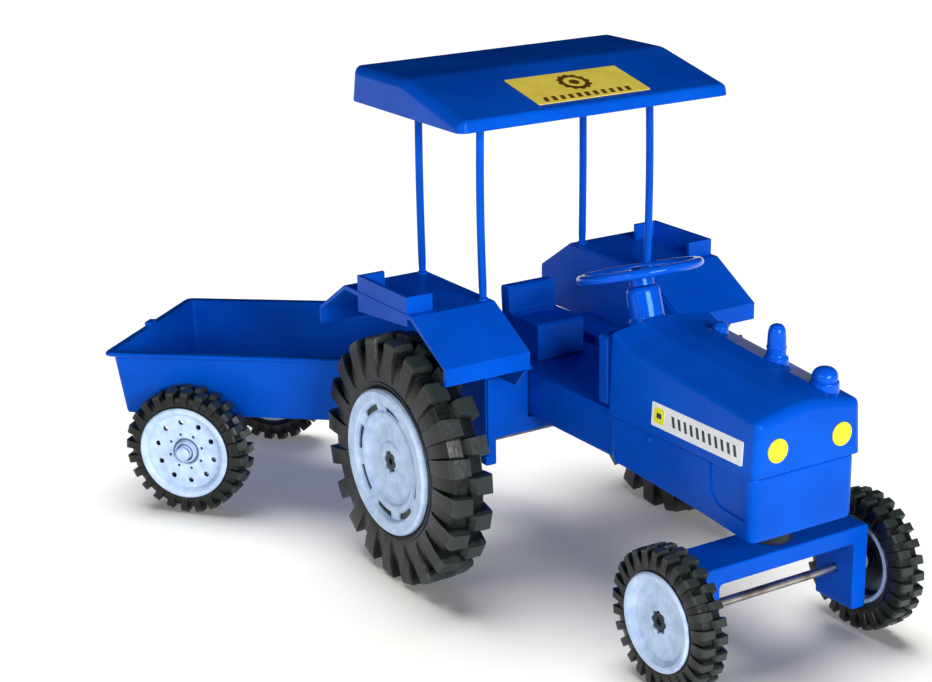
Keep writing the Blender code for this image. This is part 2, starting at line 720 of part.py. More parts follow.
def make_kingpin(mats, root):
    low = FRONT_U_PLATE - GAP - 1.6 - FRONT_U_TOP
    mid = FRONT_U_PLATE - GAP - FRONT_U_TOP
    rise = GAP
    top = 68.0 - FRONT_U_TOP
    head = [(5.0, low), (5.0, mid), (2.9, mid), (2.9, rise), (9.0, rise), (9.0, top - 1.0)]
    ob = mesh_object("kingpin_boss", *turned(head, 20), mats["dark"], root, (0, FRONT_AXLE_Y, FRONT_U_TOP))
    smooth(ob)


def make_rear_bracket(mats, root):
    h, leg = REAR_U_HALF, REAR_U_LEG
    seat = BODY_LOW_Z - GAP
    side = BODY_REAR_HALF + GAP + 0.2
    outline = [(-h, REAR_U_LOW), (-h, REAR_U_TOP), (-side, REAR_U_TOP), (-side, seat), (side, seat),
               (side, REAR_U_TOP), (h, REAR_U_TOP), (h, REAR_U_LOW), (h - leg, REAR_U_LOW),
               (h - leg, REAR_U_PLATE), (-h + leg, REAR_U_PLATE), (-h + leg, REAR_U_LOW)]
    depth = REAR_U_DEPTH / 2
    ob = mesh_object("rear_axle_bracket", *prism_y(outline, -depth, depth), mats["blue"], root)
    combine(ob, [rod(BORE_R, (-h - 5, 0, REAR_R), (h + 5, 0, REAR_R), 16)], "DIFFERENCE")
    smooth(ob)


# ---------------------------------------------------------------- hitch and trailer

def make_hitch(mats, root):
    shelf = HITCH_SHELF_Z
    top = BODY_LOW_Z - GAP
    outline = [(30.0, shelf - 3.0), (HITCH_Y + 8.0, shelf - 3.0), (HITCH_Y + 8.0, shelf), (35.0, shelf),
               (35.0, top), (30.0, top)]
    ob = mesh_object("hitch_bracket", *prism_x(outline, -9.0, 9.0), mats["blue"], root)
    bevel(ob, 0.8, 1)
    combine(ob, [rod(HITCH_PIN_R + GAP, (0, HITCH_Y, shelf - 10), (0, HITCH_Y, shelf + 5), 16)], "DIFFERENCE")
    smooth(ob)
    pin = [(HITCH_PIN_R, shelf - 4.5), (HITCH_PIN_R, shelf + 7.5), (4.6, shelf + 7.5), (4.6, shelf + 9.0),
           (2.6, shelf + 10.4)]
    ob = mesh_object("hitch_pin", *turned(pin, 16), mats["steel"], root, (0, HITCH_Y, 0))
    smooth(ob)


def rounded_rect(x, y0, y1, z, corner, steps=3):
    pts = []
    spots = ((x - corner, y1 - corner, 0.0), (-x + corner, y1 - corner, 90.0),
             (-x + corner, y0 + corner, 180.0), (x - corner, y0 + corner, 270.0))
    for cx, cy, start in spots:
        pts += [(px, py, z) for px, py in arc(cx, cy, corner, start, start + 90.0, steps)]
    return pts


def make_tub(mats, frame):
    lip_low = TUB_RIM_Z - 2.2

    def ring(half, ends, z, corner):
        return rounded_rect(half, TUB_FRONT_Y + ends, TUB_REAR_Y - ends, z, corner)

    d = TUB_END_DRAFT
    t = TUB_T
    outer = [ring(TUB_HALF_LOW, TUB_LIP + d, TUB_LOW_Z, 3.0),
             ring(TUB_HALF_TOP, TUB_LIP, lip_low, 3.0),
             ring(TUB_HALF_TOP + TUB_LIP, 0.0, lip_low, 4.0),
             ring(TUB_HALF_TOP + TUB_LIP, 0.0, TUB_RIM_Z, 4.0),
             ring(TUB_HALF_TOP - t, TUB_LIP + t, TUB_RIM_Z, 2.0),
             ring(TUB_HALF_LOW - t, TUB_LIP + d + t, TUB_LOW_Z + t, 2.0)]
    ob = mesh_object("trailer_tub", *loft(outer), mats["blue"], frame)
    smooth(ob)


def make_drawbar(mats, frame):
    top = BAR_TOP_Z
    eye = 8.0
    half = 6.5
    plan = [(half, TUB_AXLE_Y - 1.0), (-half, TUB_AXLE_Y - 1.0), (-half, 6.0)]
    plan += arc(0.0, 0.0, eye, 150.0, 390.0, 10)
    plan += [(half, 6.0)]
    loops = [[(x, y, top - BAR_T) for x, y in plan], [(x, y, top) for x, y in plan]]
    ob = mesh_object("trailer_drawbar", *loft(loops), mats["blue"], frame)
    combine(ob, [rod(HITCH_PIN_R + 1.0, (0, 0, 0), (0, 0, 90), 16)], "DIFFERENCE")
    smooth(ob)


def make_trailer_legs(mats, frame):
    for side, word in ((-1, "right"), (1, "left")):
        x0, x1 = sorted((side * 33.0, side * 38.0))
        verts, faces = box(x0, x1, TUB_AXLE_Y - 9.0, TUB_AXLE_Y + 9.0, TRAILER_R - 7.0, TUB_LOW_Z - GAP)
        ob = mesh_object("trailer_axle_leg_" + word, verts, faces, mats["blue"], frame)
        bevel(ob, 1.0, 1)
        bore = rod(BORE_R, (-60, TUB_AXLE_Y, TRAILER_R), (60, TUB_AXLE_Y, TRAILER_R), 16)
        combine(ob, [bore], "DIFFERENCE")
        smooth(ob)


def trailer_frame(root):
    """The trailer turned about the hitch pin, and tipped nose up about its own axle."""
    turn = empty("trailer_turn", (0.0, HITCH_Y, 0.0), (0.0, 0.0, TRAILER_YAW), root)
    eye_up = BAR_TOP_Z - BAR_T / 2 - TRAILER_R
    back = TUB_AXLE_Y * math.cos(TRAILER_NOSE_UP) - eye_up * math.sin(TRAILER_NOSE_UP)
    tip = empty("trailer_tip", (0.0, back, TRAILER_R), (-TRAILER_NOSE_UP, 0.0, 0.0), turn)
    return tip, empty("trailer_frame", (0.0, -TUB_AXLE_Y, -TRAILER_R), parent=tip)


def make_trailer(mats, root):
    tip, frame = trailer_frame(root)
    make_tub(mats, frame)
    make_drawbar(mats, frame)
    make_trailer_legs(mats, frame)
    make_axle("trailer_axle_rod", TRAILER_HUB_X + 0.5, mats, tip, (0, 0, 0))
    for side, word in ((-1, "right"), (1, "left")):
        make_trailer_wheel(side, word, mats, tip)
        make_axle_cap("trailer_hub_cap_" + word, TRAILER_HUB_X + 0.5 + GAP, 4.2, side, mats, tip)


def build():
    clear_scene()
    mats = {
        "blue": material("blue_plastic", BLUE, 0.25),
        "hub": material("hub_plastic", HUB, 0.4),
        "tyre": material("tyre_rubber", TYRE, 0.6),
        "steel": material("steel", STEEL, 0.3, 1.0),
        "yellow": material("yellow_label", YELLOW, 0.5),
        "white": material("white_label", WHITE, 0.5),
        "dark": material("dark_plastic", DARK, 0.5),
    }
    root = empty("tractor_root", (SHIFT_X, SHIFT_Y, 0.0))
    make_lower_body(mats, root)
    make_bonnet(mats, root)
    make_bonnet_fittings(mats, root)
    make_lamps(mats, root)
    make_side_labels(mats, root)
    make_dash(mats, root)
    axis = column_frame(root)
    make_column(mats, axis)
    make_steering_wheel(mats, axis)
    make_seat(mats, root)
    make_fender(mats, root, -1, "fender_right")
    make_fender(mats, root, 1, "fender_left")
    make_posts(mats, root)
    make_canopy(mats, root)
    make_canopy_label(mats, root)
    make_rear_bracket(mats, root)
    make_axle("rear_axle_rod", REAR_HUB_X - 1.0, mats, root, (REAR_SLIDE, 0, REAR_R))
    swivel = empty("front_swivel", (0.0, FRONT_AXLE_Y, FRONT_U_TOP), parent=root)
    make_front_bracket(mats, swivel)
    make_kingpin(mats, root)
    front = empty("front_axle_line", (0.0, 0.0, FRONT_R - FRONT_U_TOP), parent=swivel)
    make_axle("front_axle_rod", FRONT_HUB_X - 0.8, mats, front, (0, 0, 0))
    for side, word in ((-1, "right"), (1, "left")):
        make_rear_wheel(side, word, mats, root)
        make_front_wheel(side, word, mats, front)
    make_hitch(mats, root)
    make_trailer(mats, root)


build()
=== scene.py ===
"""Looks for the toy tractor and its trailer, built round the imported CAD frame.

Lengths in the piece functions are millimetres in the tractor's own frame: the origin is on
the ground under the middle of the rear axle, the tractor faces -Y, and its right side is -X.
"""
import json
import math
import bmesh
import bpy
from mathutils import Matrix, Vector


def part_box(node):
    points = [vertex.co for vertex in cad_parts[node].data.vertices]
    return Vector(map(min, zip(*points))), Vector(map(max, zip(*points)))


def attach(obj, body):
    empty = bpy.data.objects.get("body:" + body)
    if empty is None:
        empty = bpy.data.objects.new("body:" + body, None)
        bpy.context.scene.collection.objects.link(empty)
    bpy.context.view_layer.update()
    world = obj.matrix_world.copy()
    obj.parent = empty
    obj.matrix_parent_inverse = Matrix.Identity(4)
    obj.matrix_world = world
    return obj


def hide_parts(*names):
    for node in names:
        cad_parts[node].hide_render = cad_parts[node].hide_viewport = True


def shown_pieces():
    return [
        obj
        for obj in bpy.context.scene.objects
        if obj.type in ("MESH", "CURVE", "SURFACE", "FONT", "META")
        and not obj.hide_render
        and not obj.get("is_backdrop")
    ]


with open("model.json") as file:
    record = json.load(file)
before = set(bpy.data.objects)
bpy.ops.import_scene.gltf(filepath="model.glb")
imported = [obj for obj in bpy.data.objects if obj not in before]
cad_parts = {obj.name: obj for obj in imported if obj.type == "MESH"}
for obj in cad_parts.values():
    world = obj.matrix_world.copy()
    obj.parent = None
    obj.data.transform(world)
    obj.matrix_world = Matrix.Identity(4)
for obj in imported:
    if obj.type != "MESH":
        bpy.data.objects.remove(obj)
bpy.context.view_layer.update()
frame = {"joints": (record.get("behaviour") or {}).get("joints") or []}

MM = 0.001


# ------------------------------------------------------------------ frames

def box_middle(node):
    lo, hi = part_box(node)
    return (Vector(lo) + Vector(hi)) / 2


def joint(name):
    return next(j for j in frame["joints"] if j["name"] == name)


TRACTOR = Matrix.Translation((box_middle("bonnet").x, box_middle("rear_tyre_right").y, 0.0))
SIDES = (("right", -1), ("left", 1))
REAR_R, FRONT_R, TRAILER_R = 60.0, 32.0, 33.2
FRONT_AXLE_Y = -161.0
HITCH_Y = 56.0
TUB_AXLE_Y = 150.5  # back from the hitch
NOSE_UP = math.radians(3.3)  # tip of the trailer
ROD_R, BORE_R, HUB_BORE_R = 2.0, 2.3, 2.35
POST_X, POSTS_Y = 48.0, (-8.0, 47.0)


def spot(x, y, z, base=TRACTOR):
    """The frame at a point of another frame."""
    return base @ Matrix.Translation((x * MM, y * MM, z * MM))


def wheel_frame(node, axis=(1.0, 0.0, 0.0)):
    """A wheel's own frame: its middle at the origin and its axle along X."""
    turn = Vector((1, 0, 0)).rotation_difference(Vector(axis))
    return Matrix.Translation(box_middle(node)) @ turn.to_matrix().to_4x4()


def trailer_frame():
    """The trailer's frame: X along its axle, Y back from the hitch, nose tipped up."""
    axle = Vector(joint("trailer_wheel_left_spin")["axis"]).normalized()
    yaw = math.atan2(axle.y, axle.x)
    middle = (box_middle("trailer_tyre_right") + box_middle("trailer_tyre_left")) / 2
    tip = Matrix.Translation(middle) @ Matrix.Rotation(yaw, 4, "Z") @ Matrix.Rotation(-NOSE_UP, 4, "X")
    return spot(0.0, -TUB_AXLE_Y, -TRAILER_R, tip), axle


TRAILER, TRAILER_AXLE = trailer_frame()


# ------------------------------------------------------------------ materials

def shader_tree(name):
    mat = bpy.data.materials.new(name)
    mat.use_nodes = True
    tree = mat.node_tree
    return mat, tree, tree.nodes["Principled BSDF"]


def place_noise(tree, scale, detail=3.0, stretch=(1.0, 1.0, 1.0), rough=0.5):
    """Noise in the piece's own space, so that it moves with the piece."""
    coord = tree.nodes.new("ShaderNodeTexCoord")
    mapping = tree.nodes.new("ShaderNodeMapping")
    mapping.inputs["Scale"].default_value = stretch
    noise = tree.nodes.new("ShaderNodeTexNoise")
    noise.inputs["Scale"].default_value = scale
    noise.inputs["Detail"].default_value = detail
    noise.inputs["Roughness"].default_value = rough
    tree.links.new(coord.outputs["Object"], mapping.inputs["Vector"])
    tree.links.new(mapping.outputs["Vector"], noise.inputs["Vector"])
    return noise


def ramp(tree, source, stops):
    node = tree.nodes.new("ShaderNodeValToRGB")
    while len(node.color_ramp.elements) < len(stops):
        node.color_ramp.elements.new(0.5)
    for element, (at, colour) in zip(node.color_ramp.elements, stops):
        element.position = at
        element.color = (*colour, 1.0)
    tree.links.new(source, node.inputs["Fac"])
    return node.outputs["Color"]


def spread(tree, source, low, high, start=0.0, end=1.0):
    """Maps start..end to low..high."""
    node = tree.nodes.new("ShaderNodeMapRange")
    node.inputs["From Min"].default_value = start
    node.inputs["From Max"].default_value = end
    node.inputs["To Min"].default_value = low
    node.inputs["To Max"].default_value = high
    tree.links.new(source, node.inputs["Value"])
    return node.outputs["Result"]


def maths(tree, operation, source, number=0.0, plus=None):
    node = tree.nodes.new("ShaderNodeMath")
    node.operation = operation
    node.inputs[1].default_value = number
    tree.links.new(source, node.inputs[0])
    if plus:
        tree.links.new(plus, node.inputs[2])
    return node.outputs["Value"]


def bump(tree, heights, shader):
    """Bump maps one on another: (source, strength, depth in metres)."""
    before = None
    for source, strength, depth in heights:
        node = tree.nodes.new("ShaderNodeBump")
        node.inputs["Strength"].default_value = strength
        node.inputs["Distance"].default_value = depth
        tree.links.new(source, node.inputs["Height"])
        if before:
            tree.links.new(before, node.inputs["Normal"])
        before = node.outputs["Normal"]
    tree.links.new(before, shader.inputs["Normal"])


def glossy_plastic(name, deep, bright, rough=(0.2, 0.34), gloss=0.35, wave=0.25,
                   tint=(0.25, 0.6, 1.0, 1.0)):
    """Injection-moulded plastic: flow shading, faint waviness, fine grain and scuffs."""
    mat, tree, shader = shader_tree(name)
    flow = place_noise(tree, 22.0, 4.0, (1.0, 1.0, 1.6))
    tree.links.new(ramp(tree, flow.outputs["Fac"], [(0.3, deep), (0.7, bright)]), shader.inputs["Base Color"])
    scuffs = place_noise(tree, 160.0, 5.0, (1.0, 0.25, 1.0), 0.7)
    tree.links.new(spread(tree, scuffs.outputs["Fac"], *rough), shader.inputs["Roughness"])
    waves = place_noise(tree, 55.0, 1.0)
    grain = place_noise(tree, 1500.0, 2.0)
    bump(tree, [(waves.outputs["Fac"], wave, 0.0006), (grain.outputs["Fac"], 0.06, 0.00008)], shader)
    shader.inputs["Specular IOR Level"].default_value = gloss
    shader.inputs["Specular Tint"].default_value = tint
    return mat


def tyre_plastic(name, outer):
    """Black soft plastic, darkest at the groove floors between the lugs; the rubbed lug tops near the outer
    radius are greyer.
    """
    mat, tree, shader = shader_tree(name)
    coord = tree.nodes.new("ShaderNodeTexCoord")
    flat = tree.nodes.new("ShaderNodeVectorMath")
    flat.operation = "MULTIPLY"
    flat.inputs[1].default_value = (0.0, 1.0 / (outer * MM), 1.0 / (outer * MM))
    length = tree.nodes.new("ShaderNodeVectorMath")
    length.operation = "LENGTH"
    tree.links.new(coord.outputs["Object"], flat.inputs[0])
    tree.links.new(flat.outputs["Vector"], length.inputs[0])
    wear = place_noise(tree, 260.0, 5.0, rough=0.65)
    worn = maths(tree, "MULTIPLY_ADD", wear.outputs["Fac"], 0.09, length.outputs["Value"])
    stops = [(0.6, (0.004, 0.0065, 0.0065)), (0.9, (0.0012, 0.0022, 0.002)),
             (0.985, (0.004, 0.0072, 0.007)), (1.05, (0.022, 0.03, 0.028))]
    tree.links.new(ramp(tree, worn, stops), shader.inputs["Base Color"])
    tree.links.new(spread(tree, wear.outputs["Fac"], 0.25, 0.5), shader.inputs["Roughness"])
    lumps = place_noise(tree, 420.0, 3.0)
    grain = place_noise(tree, 2600.0, 2.0)
    bump(tree, [(lumps.outputs["Fac"], 0.5, 0.0004), (grain.outputs["Fac"], 0.3, 0.0001)], shader)
    shader.inputs["Specular IOR Level"].default_value = 0.4
    return mat


def hub_plastic(name, hollow):
    """Pale blue-white plastic with faint mottling; nearer the middle than hollow it is painted dark, a painted
    shade for the hub's hollow.
    """
    mat, tree, shader = shader_tree(name)
    mottle = place_noise(tree, 170.0, 5.0, rough=0.6)
    stops = [(0.32, (0.36, 0.5, 0.76)), (0.55, (0.5, 0.64, 0.88)), (0.75, (0.62, 0.74, 0.95))]
    unshaded_colour = ramp(tree, mottle.outputs["Fac"], stops)
    coord = tree.nodes.new("ShaderNodeTexCoord")
    split = tree.nodes.new("ShaderNodeSeparateXYZ")
    tree.links.new(coord.outputs["Object"], split.inputs["Vector"])
    # Painted shade: closer to the wheel's middle plane than hollow, the colour blends to near black.
    across = maths(tree, "ABSOLUTE", split.outputs["X"])
    face = spread(tree, across, 0.0, 1.0, (hollow - 0.5) * MM, hollow * MM)
    shade_mix = tree.nodes.new("ShaderNodeMix")
    shade_mix.data_type = "RGBA"
    shade_mix.inputs["A"].default_value = (0.006, 0.008, 0.012, 1.0)
    tree.links.new(face, shade_mix.inputs["Factor"])
    tree.links.new(unshaded_colour, shade_mix.inputs["B"])
    tree.links.new(shade_mix.outputs["Result"], shader.inputs["Base Color"])
    tree.links.new(spread(tree, mottle.outputs["Fac"], 0.28, 0.46), shader.inputs["Roughness"])
    lumps = place_noise(tree, 300.0, 2.0)
    bump(tree, [(lumps.outputs["Fac"], 0.25, 0.0003)], shader)
    return mat


def brushed_steel(name):
    mat, tree, shader = shader_tree(name)
    lines = place_noise(tree, 900.0, 3.0, (0.03, 1.0, 1.0))
    stain = place_noise(tree, 120.0, 4.0)
    tree.links.new(ramp(tree, stain.outputs["Fac"], [(0.35, (0.3, 0.24, 0.18)), (0.6, (0.62, 0.6, 0.57))]),
                   shader.inputs["Base Color"])
    tree.links.new(spread(tree, lines.outputs["Fac"], 0.22, 0.45), shader.inputs["Roughness"])
    shader.inputs["Metallic"].default_value = 1.0
    bump(tree, [(lines.outputs["Fac"], 0.2, 0.0001)], shader)
    return mat


def printed(name, low, high, rough=(0.32, 0.5)):
    """Printed paper sticker: slightly uneven ink and a faint curl in the surface."""
    mat, tree, shader = shader_tree(name)
    ink = place_noise(tree, 90.0, 6.0, rough=0.6)
    tree.links.new(ramp(tree, ink.outputs["Fac"], [(0.3, low), (0.7, high)]), shader.inputs["Base Color"])
    tree.links.new(spread(tree, ink.outputs["Fac"], *rough), shader.inputs["Roughness"])
    curl = place_noise(tree, 60.0, 1.0)
    bump(tree, [(curl.outputs["Fac"], 0.2, 0.0005)], shader)
    return mat


BLUE = glossy_plastic("blue_moulded_plastic", (0.0004, 0.062, 0.46), (0.0008, 0.088, 0.6), (0.22, 0.36), 0.14)
BLUE_GLOSS = glossy_plastic("blue_polished_plastic", (0.0015, 0.075, 0.56), (0.003, 0.1, 0.72),
                            (0.08, 0.16), 0.4, 0.45)
# The second number is the depth from the wheel's middle plane inside which each hub is painted dark as painted
# shade; the nut's is below zero, so it has none.
REAR_HUB = hub_plastic("rear_hub_plastic", 6.2)
FRONT_HUB = hub_plastic("front_hub_plastic", 2.2)
TRAILER_HUB = hub_plastic("trailer_hub_plastic", 4.8)
NUT_PLASTIC = hub_plastic("trailer_nut_plastic", -1.0)
REAR_TYRE = tyre_plastic("rear_tyre_plastic", REAR_R)
FRONT_TYRE = tyre_plastic("front_tyre_plastic", FRONT_R)
TRAILER_TYRE = tyre_plastic("trailer_tyre_plastic", TRAILER_R)
STEEL = brushed_steel("axle_steel")
YELLOW = printed("yellow_sticker", (0.92, 0.7, 0.08), (1.0, 0.82, 0.13))
LEMON = printed("lemon_sticker", (0.72, 0.74, 0.01), (0.9, 0.86, 0.02), (0.2, 0.35))
WHITE = printed("white_sticker", (0.72, 0.76, 0.8), (0.86, 0.88, 0.92))
BROWN_INK = printed("brown_ink", (0.09, 0.03, 0.005), (0.2, 0.08, 0.01))
DARK_INK = printed("dark_ink", (0.012, 0.014, 0.02), (0.03, 0.035, 0.05))
# Near-black used as painted shade: the plugs in the hub centre holes and the kingpin post in the shaded gap
# under the body.
DARK = glossy_plastic("dark_plastic", (0.012, 0.012, 0.014), (0.03, 0.03, 0.034))


# ------------------------------------------------------------------ meshes

def build(name, verts, faces, mat, place=TRACTOR):
    bm = bmesh.new()
    points = [bm.verts.new(Vector(v) * MM) for v in verts]
    for face in faces:
        bm.faces.new([points[i] for i in face])
    bmesh.ops.recalc_face_normals(bm, faces=bm.faces)
    me = bpy.data.meshes.new(name)
    bm.to_mesh(me)
    bm.free()
    me.materials.append(mat)
    ob = bpy.data.objects.new(name, me)
    bpy.context.scene.collection.objects.link(ob)
    ob.matrix_world = place
    return ob


def bake(ob):
    """Applies the piece's modifiers."""
    bpy.context.view_layer.update()
    graph = bpy.context.evaluated_depsgraph_get()
    me = bpy.data.meshes.new_from_object(ob.evaluated_get(graph))
    me.name = ob.name
    ob.modifiers.clear()
    ob.data = me


def combine(ob, parts, operation):
    """Joins or cuts solids and drops the helpers."""
    helpers = []
    for k, (verts, faces) in enumerate(parts):
        helper = build("tool_%s_%d" % (ob.name, k), verts, faces, ob.data.materials[0], ob.matrix_world)
        mod = ob.modifiers.new("cut_%d" % k, "BOOLEAN")
        mod.operation = operation
        mod.solver = "EXACT"
        mod.object = helper
        helpers.append(helper)
    bake(ob)
    for helper in helpers:
        bpy.data.objects.remove(helper, do_unlink=True)


def bevel(ob, width, segments=3, angle=30.0):
    mod = ob.modifiers.new("edges", "BEVEL")
    mod.width = width * MM
    mod.segments = segments
    mod.limit_method = "ANGLE"
    mod.angle_limit = math.radians(angle)
    mod.use_clamp_overlap = True
    bake(ob)


def finish(ob, body, nodes=(), angle=38.0):
    """Shades a piece and ties it to the frame."""
    ob.data.shade_smooth()
    ob.data.set_sharp_from_angle(angle=math.radians(angle))
    even = ob.modifiers.new("even_shading", "WEIGHTED_NORMAL")
    even.keep_sharp = True
    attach(ob, body)
    if nodes:
        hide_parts(*nodes)
    return ob


def loft(loops, closed=False):
    """A solid through loops of equal length, capped unless it closes on itself."""
    count = len(loops[0])
    total = len(loops)
    verts = [p for loop in loops for p in loop]
    faces = []
    for k in range(total if closed else total - 1):
        m = (k + 1) % total
        for i in range(count):
            j = (i + 1) % count
            faces.append((k * count + i, k * count + j, m * count + j, m * count + i))
    if not closed:
        faces.append(tuple(range(count)))
        faces.append(tuple((total - 1) * count + i for i in range(count)))
    return verts, faces


def block(x0, x1, y0, y1, z0, z1):
    low = [(x0, y0, z0), (x1, y0, z0), (x1, y1, z0), (x0, y1, z0)]
    return loft([low, [(x, y, z1) for x, y, _ in low]])


def prism_x(outline, x0, x1):
    return loft([[(x0, y, z) for y, z in outline], [(x1, y, z) for y, z in outline]])


def prism_y(outline, y0, y1):
    return loft([[(x, y0, z) for x, z in outline], [(x, y1, z) for x, z in outline]])


def prism_z(outline, z0, z1):
    return loft([[(x, y, z0) for x, y in outline], [(x, y, z1) for x, y in outline]])


def rod(radius, start, end, sides=40, chamfer=0.0):
    """A round bar between two points, with turned-down ends."""
    a, b = Vector(start), Vector(end)
    turn = (b - a).to_track_quat("Z", "Y").to_matrix()
    step = (b - a).normalized() * chamfer
    rings = [(a, radius - chamfer), (a + step, radius), (b - step, radius), (b, radius - chamfer)]
    if not chamfer:
        rings = [(a, radius), (b, radius)]
    loops = []
    for at, r in rings:
        loops.append([at + turn @ Vector((r * math.cos(t), r * math.sin(t), 0.0)) for t in circle(sides)])
    return loft(loops)


def circle(sides, start=0.0):
    return [start + 2 * math.pi * i / sides for i in range(sides)]


def turned(profile, sides=48, base=None):
    """A solid turned about Z from (radius, z) pairs; base(x, y) shears the first ring."""
    loops = []
    for k, (radius, z) in enumerate(profile):
        ring = [(radius * math.cos(a), radius * math.sin(a)) for a in circle(sides)]
        loops.append([(x, y, base(x, y) if base and k == 0 else z) for x, y in ring])
    return loft(loops)


def turned_about_x(profile, sides, wobble=None):
    """A ring turned about X from a closed outline of (radius, x); wobble(r, x, angle) adds to r."""
    loops = []
    for a in circle(sides):
        ring = [(r + (wobble(r, x, a) if wobble else 0.0), x) for r, x in profile]
        loops.append([(x, r * math.cos(a), r * math.sin(a)) for r, x in ring])
    return loft(loops, True)


def fillet(outline, radii, steps=5):
    """A closed outline with its corners rounded by those radii."""
    out = []
    n = len(outline)
    if not isinstance(radii, (list, tuple)):
        radii = [radii] * n
    for i in range(n):
        p = Vector(outline[i])
        a = Vector(outline[i - 1]) - p
        b = Vector(outline[(i + 1) % n]) - p
        half = a.angle(b) / 2
        cut = min(radii[i] / max(math.tan(half), 1e-6), 0.48 * a.length, 0.48 * b.length)
        s, e = p + a.normalized() * cut, p + b.normalized() * cut
        for k in range(steps + 1):
            t = k / steps
            q = s * (1 - t) ** 2 + p * 2 * t * (1 - t) + e * t ** 2
            out.append((q.x, q.y))
    return out


def inset(outline, d):
    """The outline moved inward by d; it runs anticlockwise."""
    out = []
    n = len(outline)
    for i in range(n):
        p = Vector(outline[i])
        a = (p - Vector(outline[i - 1])).normalized()
        b = (Vector(outline[(i + 1) % n]) - p).normalized()
        na, nb = Vector((-a.y, a.x)), Vector((-b.y, b.x))
        m = na + nb
        m = m / max(m.dot(na), 0.2)
        out.append((p.x + m.x * d, p.y + m.y * d))
    return out


# ------------------------------------------------------------------ body and bonnet

BODY_TOP = 94.5
BONNET_FRONT, BONNET_REAR = -183.0, -82.0


def body_low(y):
    """Height of the body's lower edge."""
    if y < -140.0:
        return 65.5 + (y + 181.0) * 3.5 / 41.0
    if y < -92.0:
        return 69.0 + (y + 140.0) * 2.5 / 48.0
    return 71.5


def make_body():
    corners = [(-28.3, -181.0), (28.3, -181.0), (28.3, -140.0), (28.3, -92.0), (28.3, -84.5), (25.0, -80.0),
               (25.0, 48.0), (-25.0, 48.0), (-25.0, -80.0), (-28.3, -84.5), (-28.3, -92.0), (-28.3, -140.0)]
    plan = fillet(corners, [4.6, 4.6, 0.5, 0.5, 2.0, 2.0, 3.0, 3.0, 2.0, 2.0, 0.5, 0.5])
    loops = []
    for d, z in ((1.2, BODY_TOP), (0.35, BODY_TOP - 0.35), (0.0, BODY_TOP - 1.2)):
        loops.append([(x, y, z) for x, y in inset(plan, d)])
    for d, lift in ((0.0, 2.2), (0.5, 0.7), (1.6, 0.0), (2.4, 0.0), (2.8, 1.0)):
        loops.append([(x, y, body_low(y) + lift) for x, y in inset(plan, d)])
    loops.append([(x, y, BODY_TOP - 2.2) for x, y in inset(plan, 3.2)])
    ob = build("body_hull", *loft(loops), BLUE)
    arch = fillet([(-176.6, 97.0), (-152.5, 97.0), (-152.5, 76.4), (-176.6, 74.6)], [0.5, 0.5, 15.0, 1.5], 8)
    cuts = [prism_x(arch, s * 27.4, s * 40.0) for s in (-1, 1)]
    combine(ob, cuts, "DIFFERENCE")
    finish(ob, "tractor", ["lower_body"])
    for k, y in enumerate((-150.0, -112.0, -40.0, 2.0, 30.0)):
        half = 25.2 if y < -84 else 21.9
        plate = block(-half, half, y - 0.7, y + 0.7, body_low(y) + 3.0, BODY_TOP - 2.0)
        rib = build("body_rib_%d" % k, *plate, BLUE)
        bevel(rib, 0.3, 2)
        finish(rib, "tractor")
    for word, s in SIDES:
        place = spot(s * 28.3, -111.5, 91.6) @ Matrix.Rotation(s * math.pi / 2, 4, "Y")
        pip = turned([(1.5, -0.4), (1.45, 0.2), (1.1, 0.7), (0.4, 0.95)], 24)
        pip = build("side_pip_" + word, *pip, BLUE, place)
        finish(pip, "tractor")


def cowl(y):
    """Lift of the bonnet's side edges where they sweep up to the dash."""
    t = max(0.0, (y - BONNET_REAR + 16.0) / 16.0)
    return 4.5 * t * t * (1.6 - 0.6 * t)


def edge_z(y):
    return 119.5 + (y - BONNET_FRONT) * 0.093 + cowl(y)


def ridge(y):
    t = min(1.0, (y - BONNET_FRONT) / 20.0)
    return 3.0 + 2.5 * t * (2.0 - t) - 0.8 * cowl(y)


def bonnet_top(x, y):
    side = (28.0 - abs(x)) / 17.0
    return edge_z(y) + ridge(y) * max(0.0, min(1.0, side))


def bonnet_section(y, d):
    """The bonnet across at y, its outline moved inward by d at the nose."""
    low, top = BODY_TOP + 0.3 + d * 0.4, edge_z(y) - d
    crown = top + ridge(y) * (1.0 - d * 0.08)
    corners = [(-29.4 + d, low), (29.4 - d, low), (28.0 - d, top), (11.0 - d * 0.3, crown),
               (0.0, crown + 0.8), (-11.0 + d * 0.3, crown), (-28.0 + d, top)]
    r = max(0.6, 2.6 - d * 0.2)
    return [(x, y, z) for x, z in fillet(corners, [0.8, 0.8, r, 2.2, 6.0, 2.2, r], 6)]


def make_bonnet():
    loops = []
    for k in range(7):
        a = math.pi / 2 * k / 6
        loops.append(bonnet_section(BONNET_FRONT + 3.4 * (1 - math.cos(a)), 3.4 * (1 - math.sin(a))))
    for k in range(1, 30):
        y = BONNET_FRONT + 3.4 + (BONNET_REAR - 1.0 - BONNET_FRONT - 3.4) * k / 29
        loops.append(bonnet_section(y, 0.0))
    for d in (0.3, 1.0):
        loops.append(bonnet_section(BONNET_REAR - 1.0 + d, d))
    ob = build("bonnet_cover", *loft(loops), BLUE)
    finish(ob, "tractor", ["bonnet"], angle=50.0)


FITTINGS_X = 17.0


def on_bonnet(name, cad, y, profile, sides=48):
    """A turned knob whose foot follows the bonnet's top."""
    base = bonnet_top(FITTINGS_X, y) + 0.25

    def foot(u, v):
        return bonnet_top(FITTINGS_X + u, y + v) + 0.15 - base
    ob = build(name, *turned(profile, sides, foot), BLUE_GLOSS, spot(FITTINGS_X, y, base))
    finish(ob, "tractor", [cad], angle=45.0)


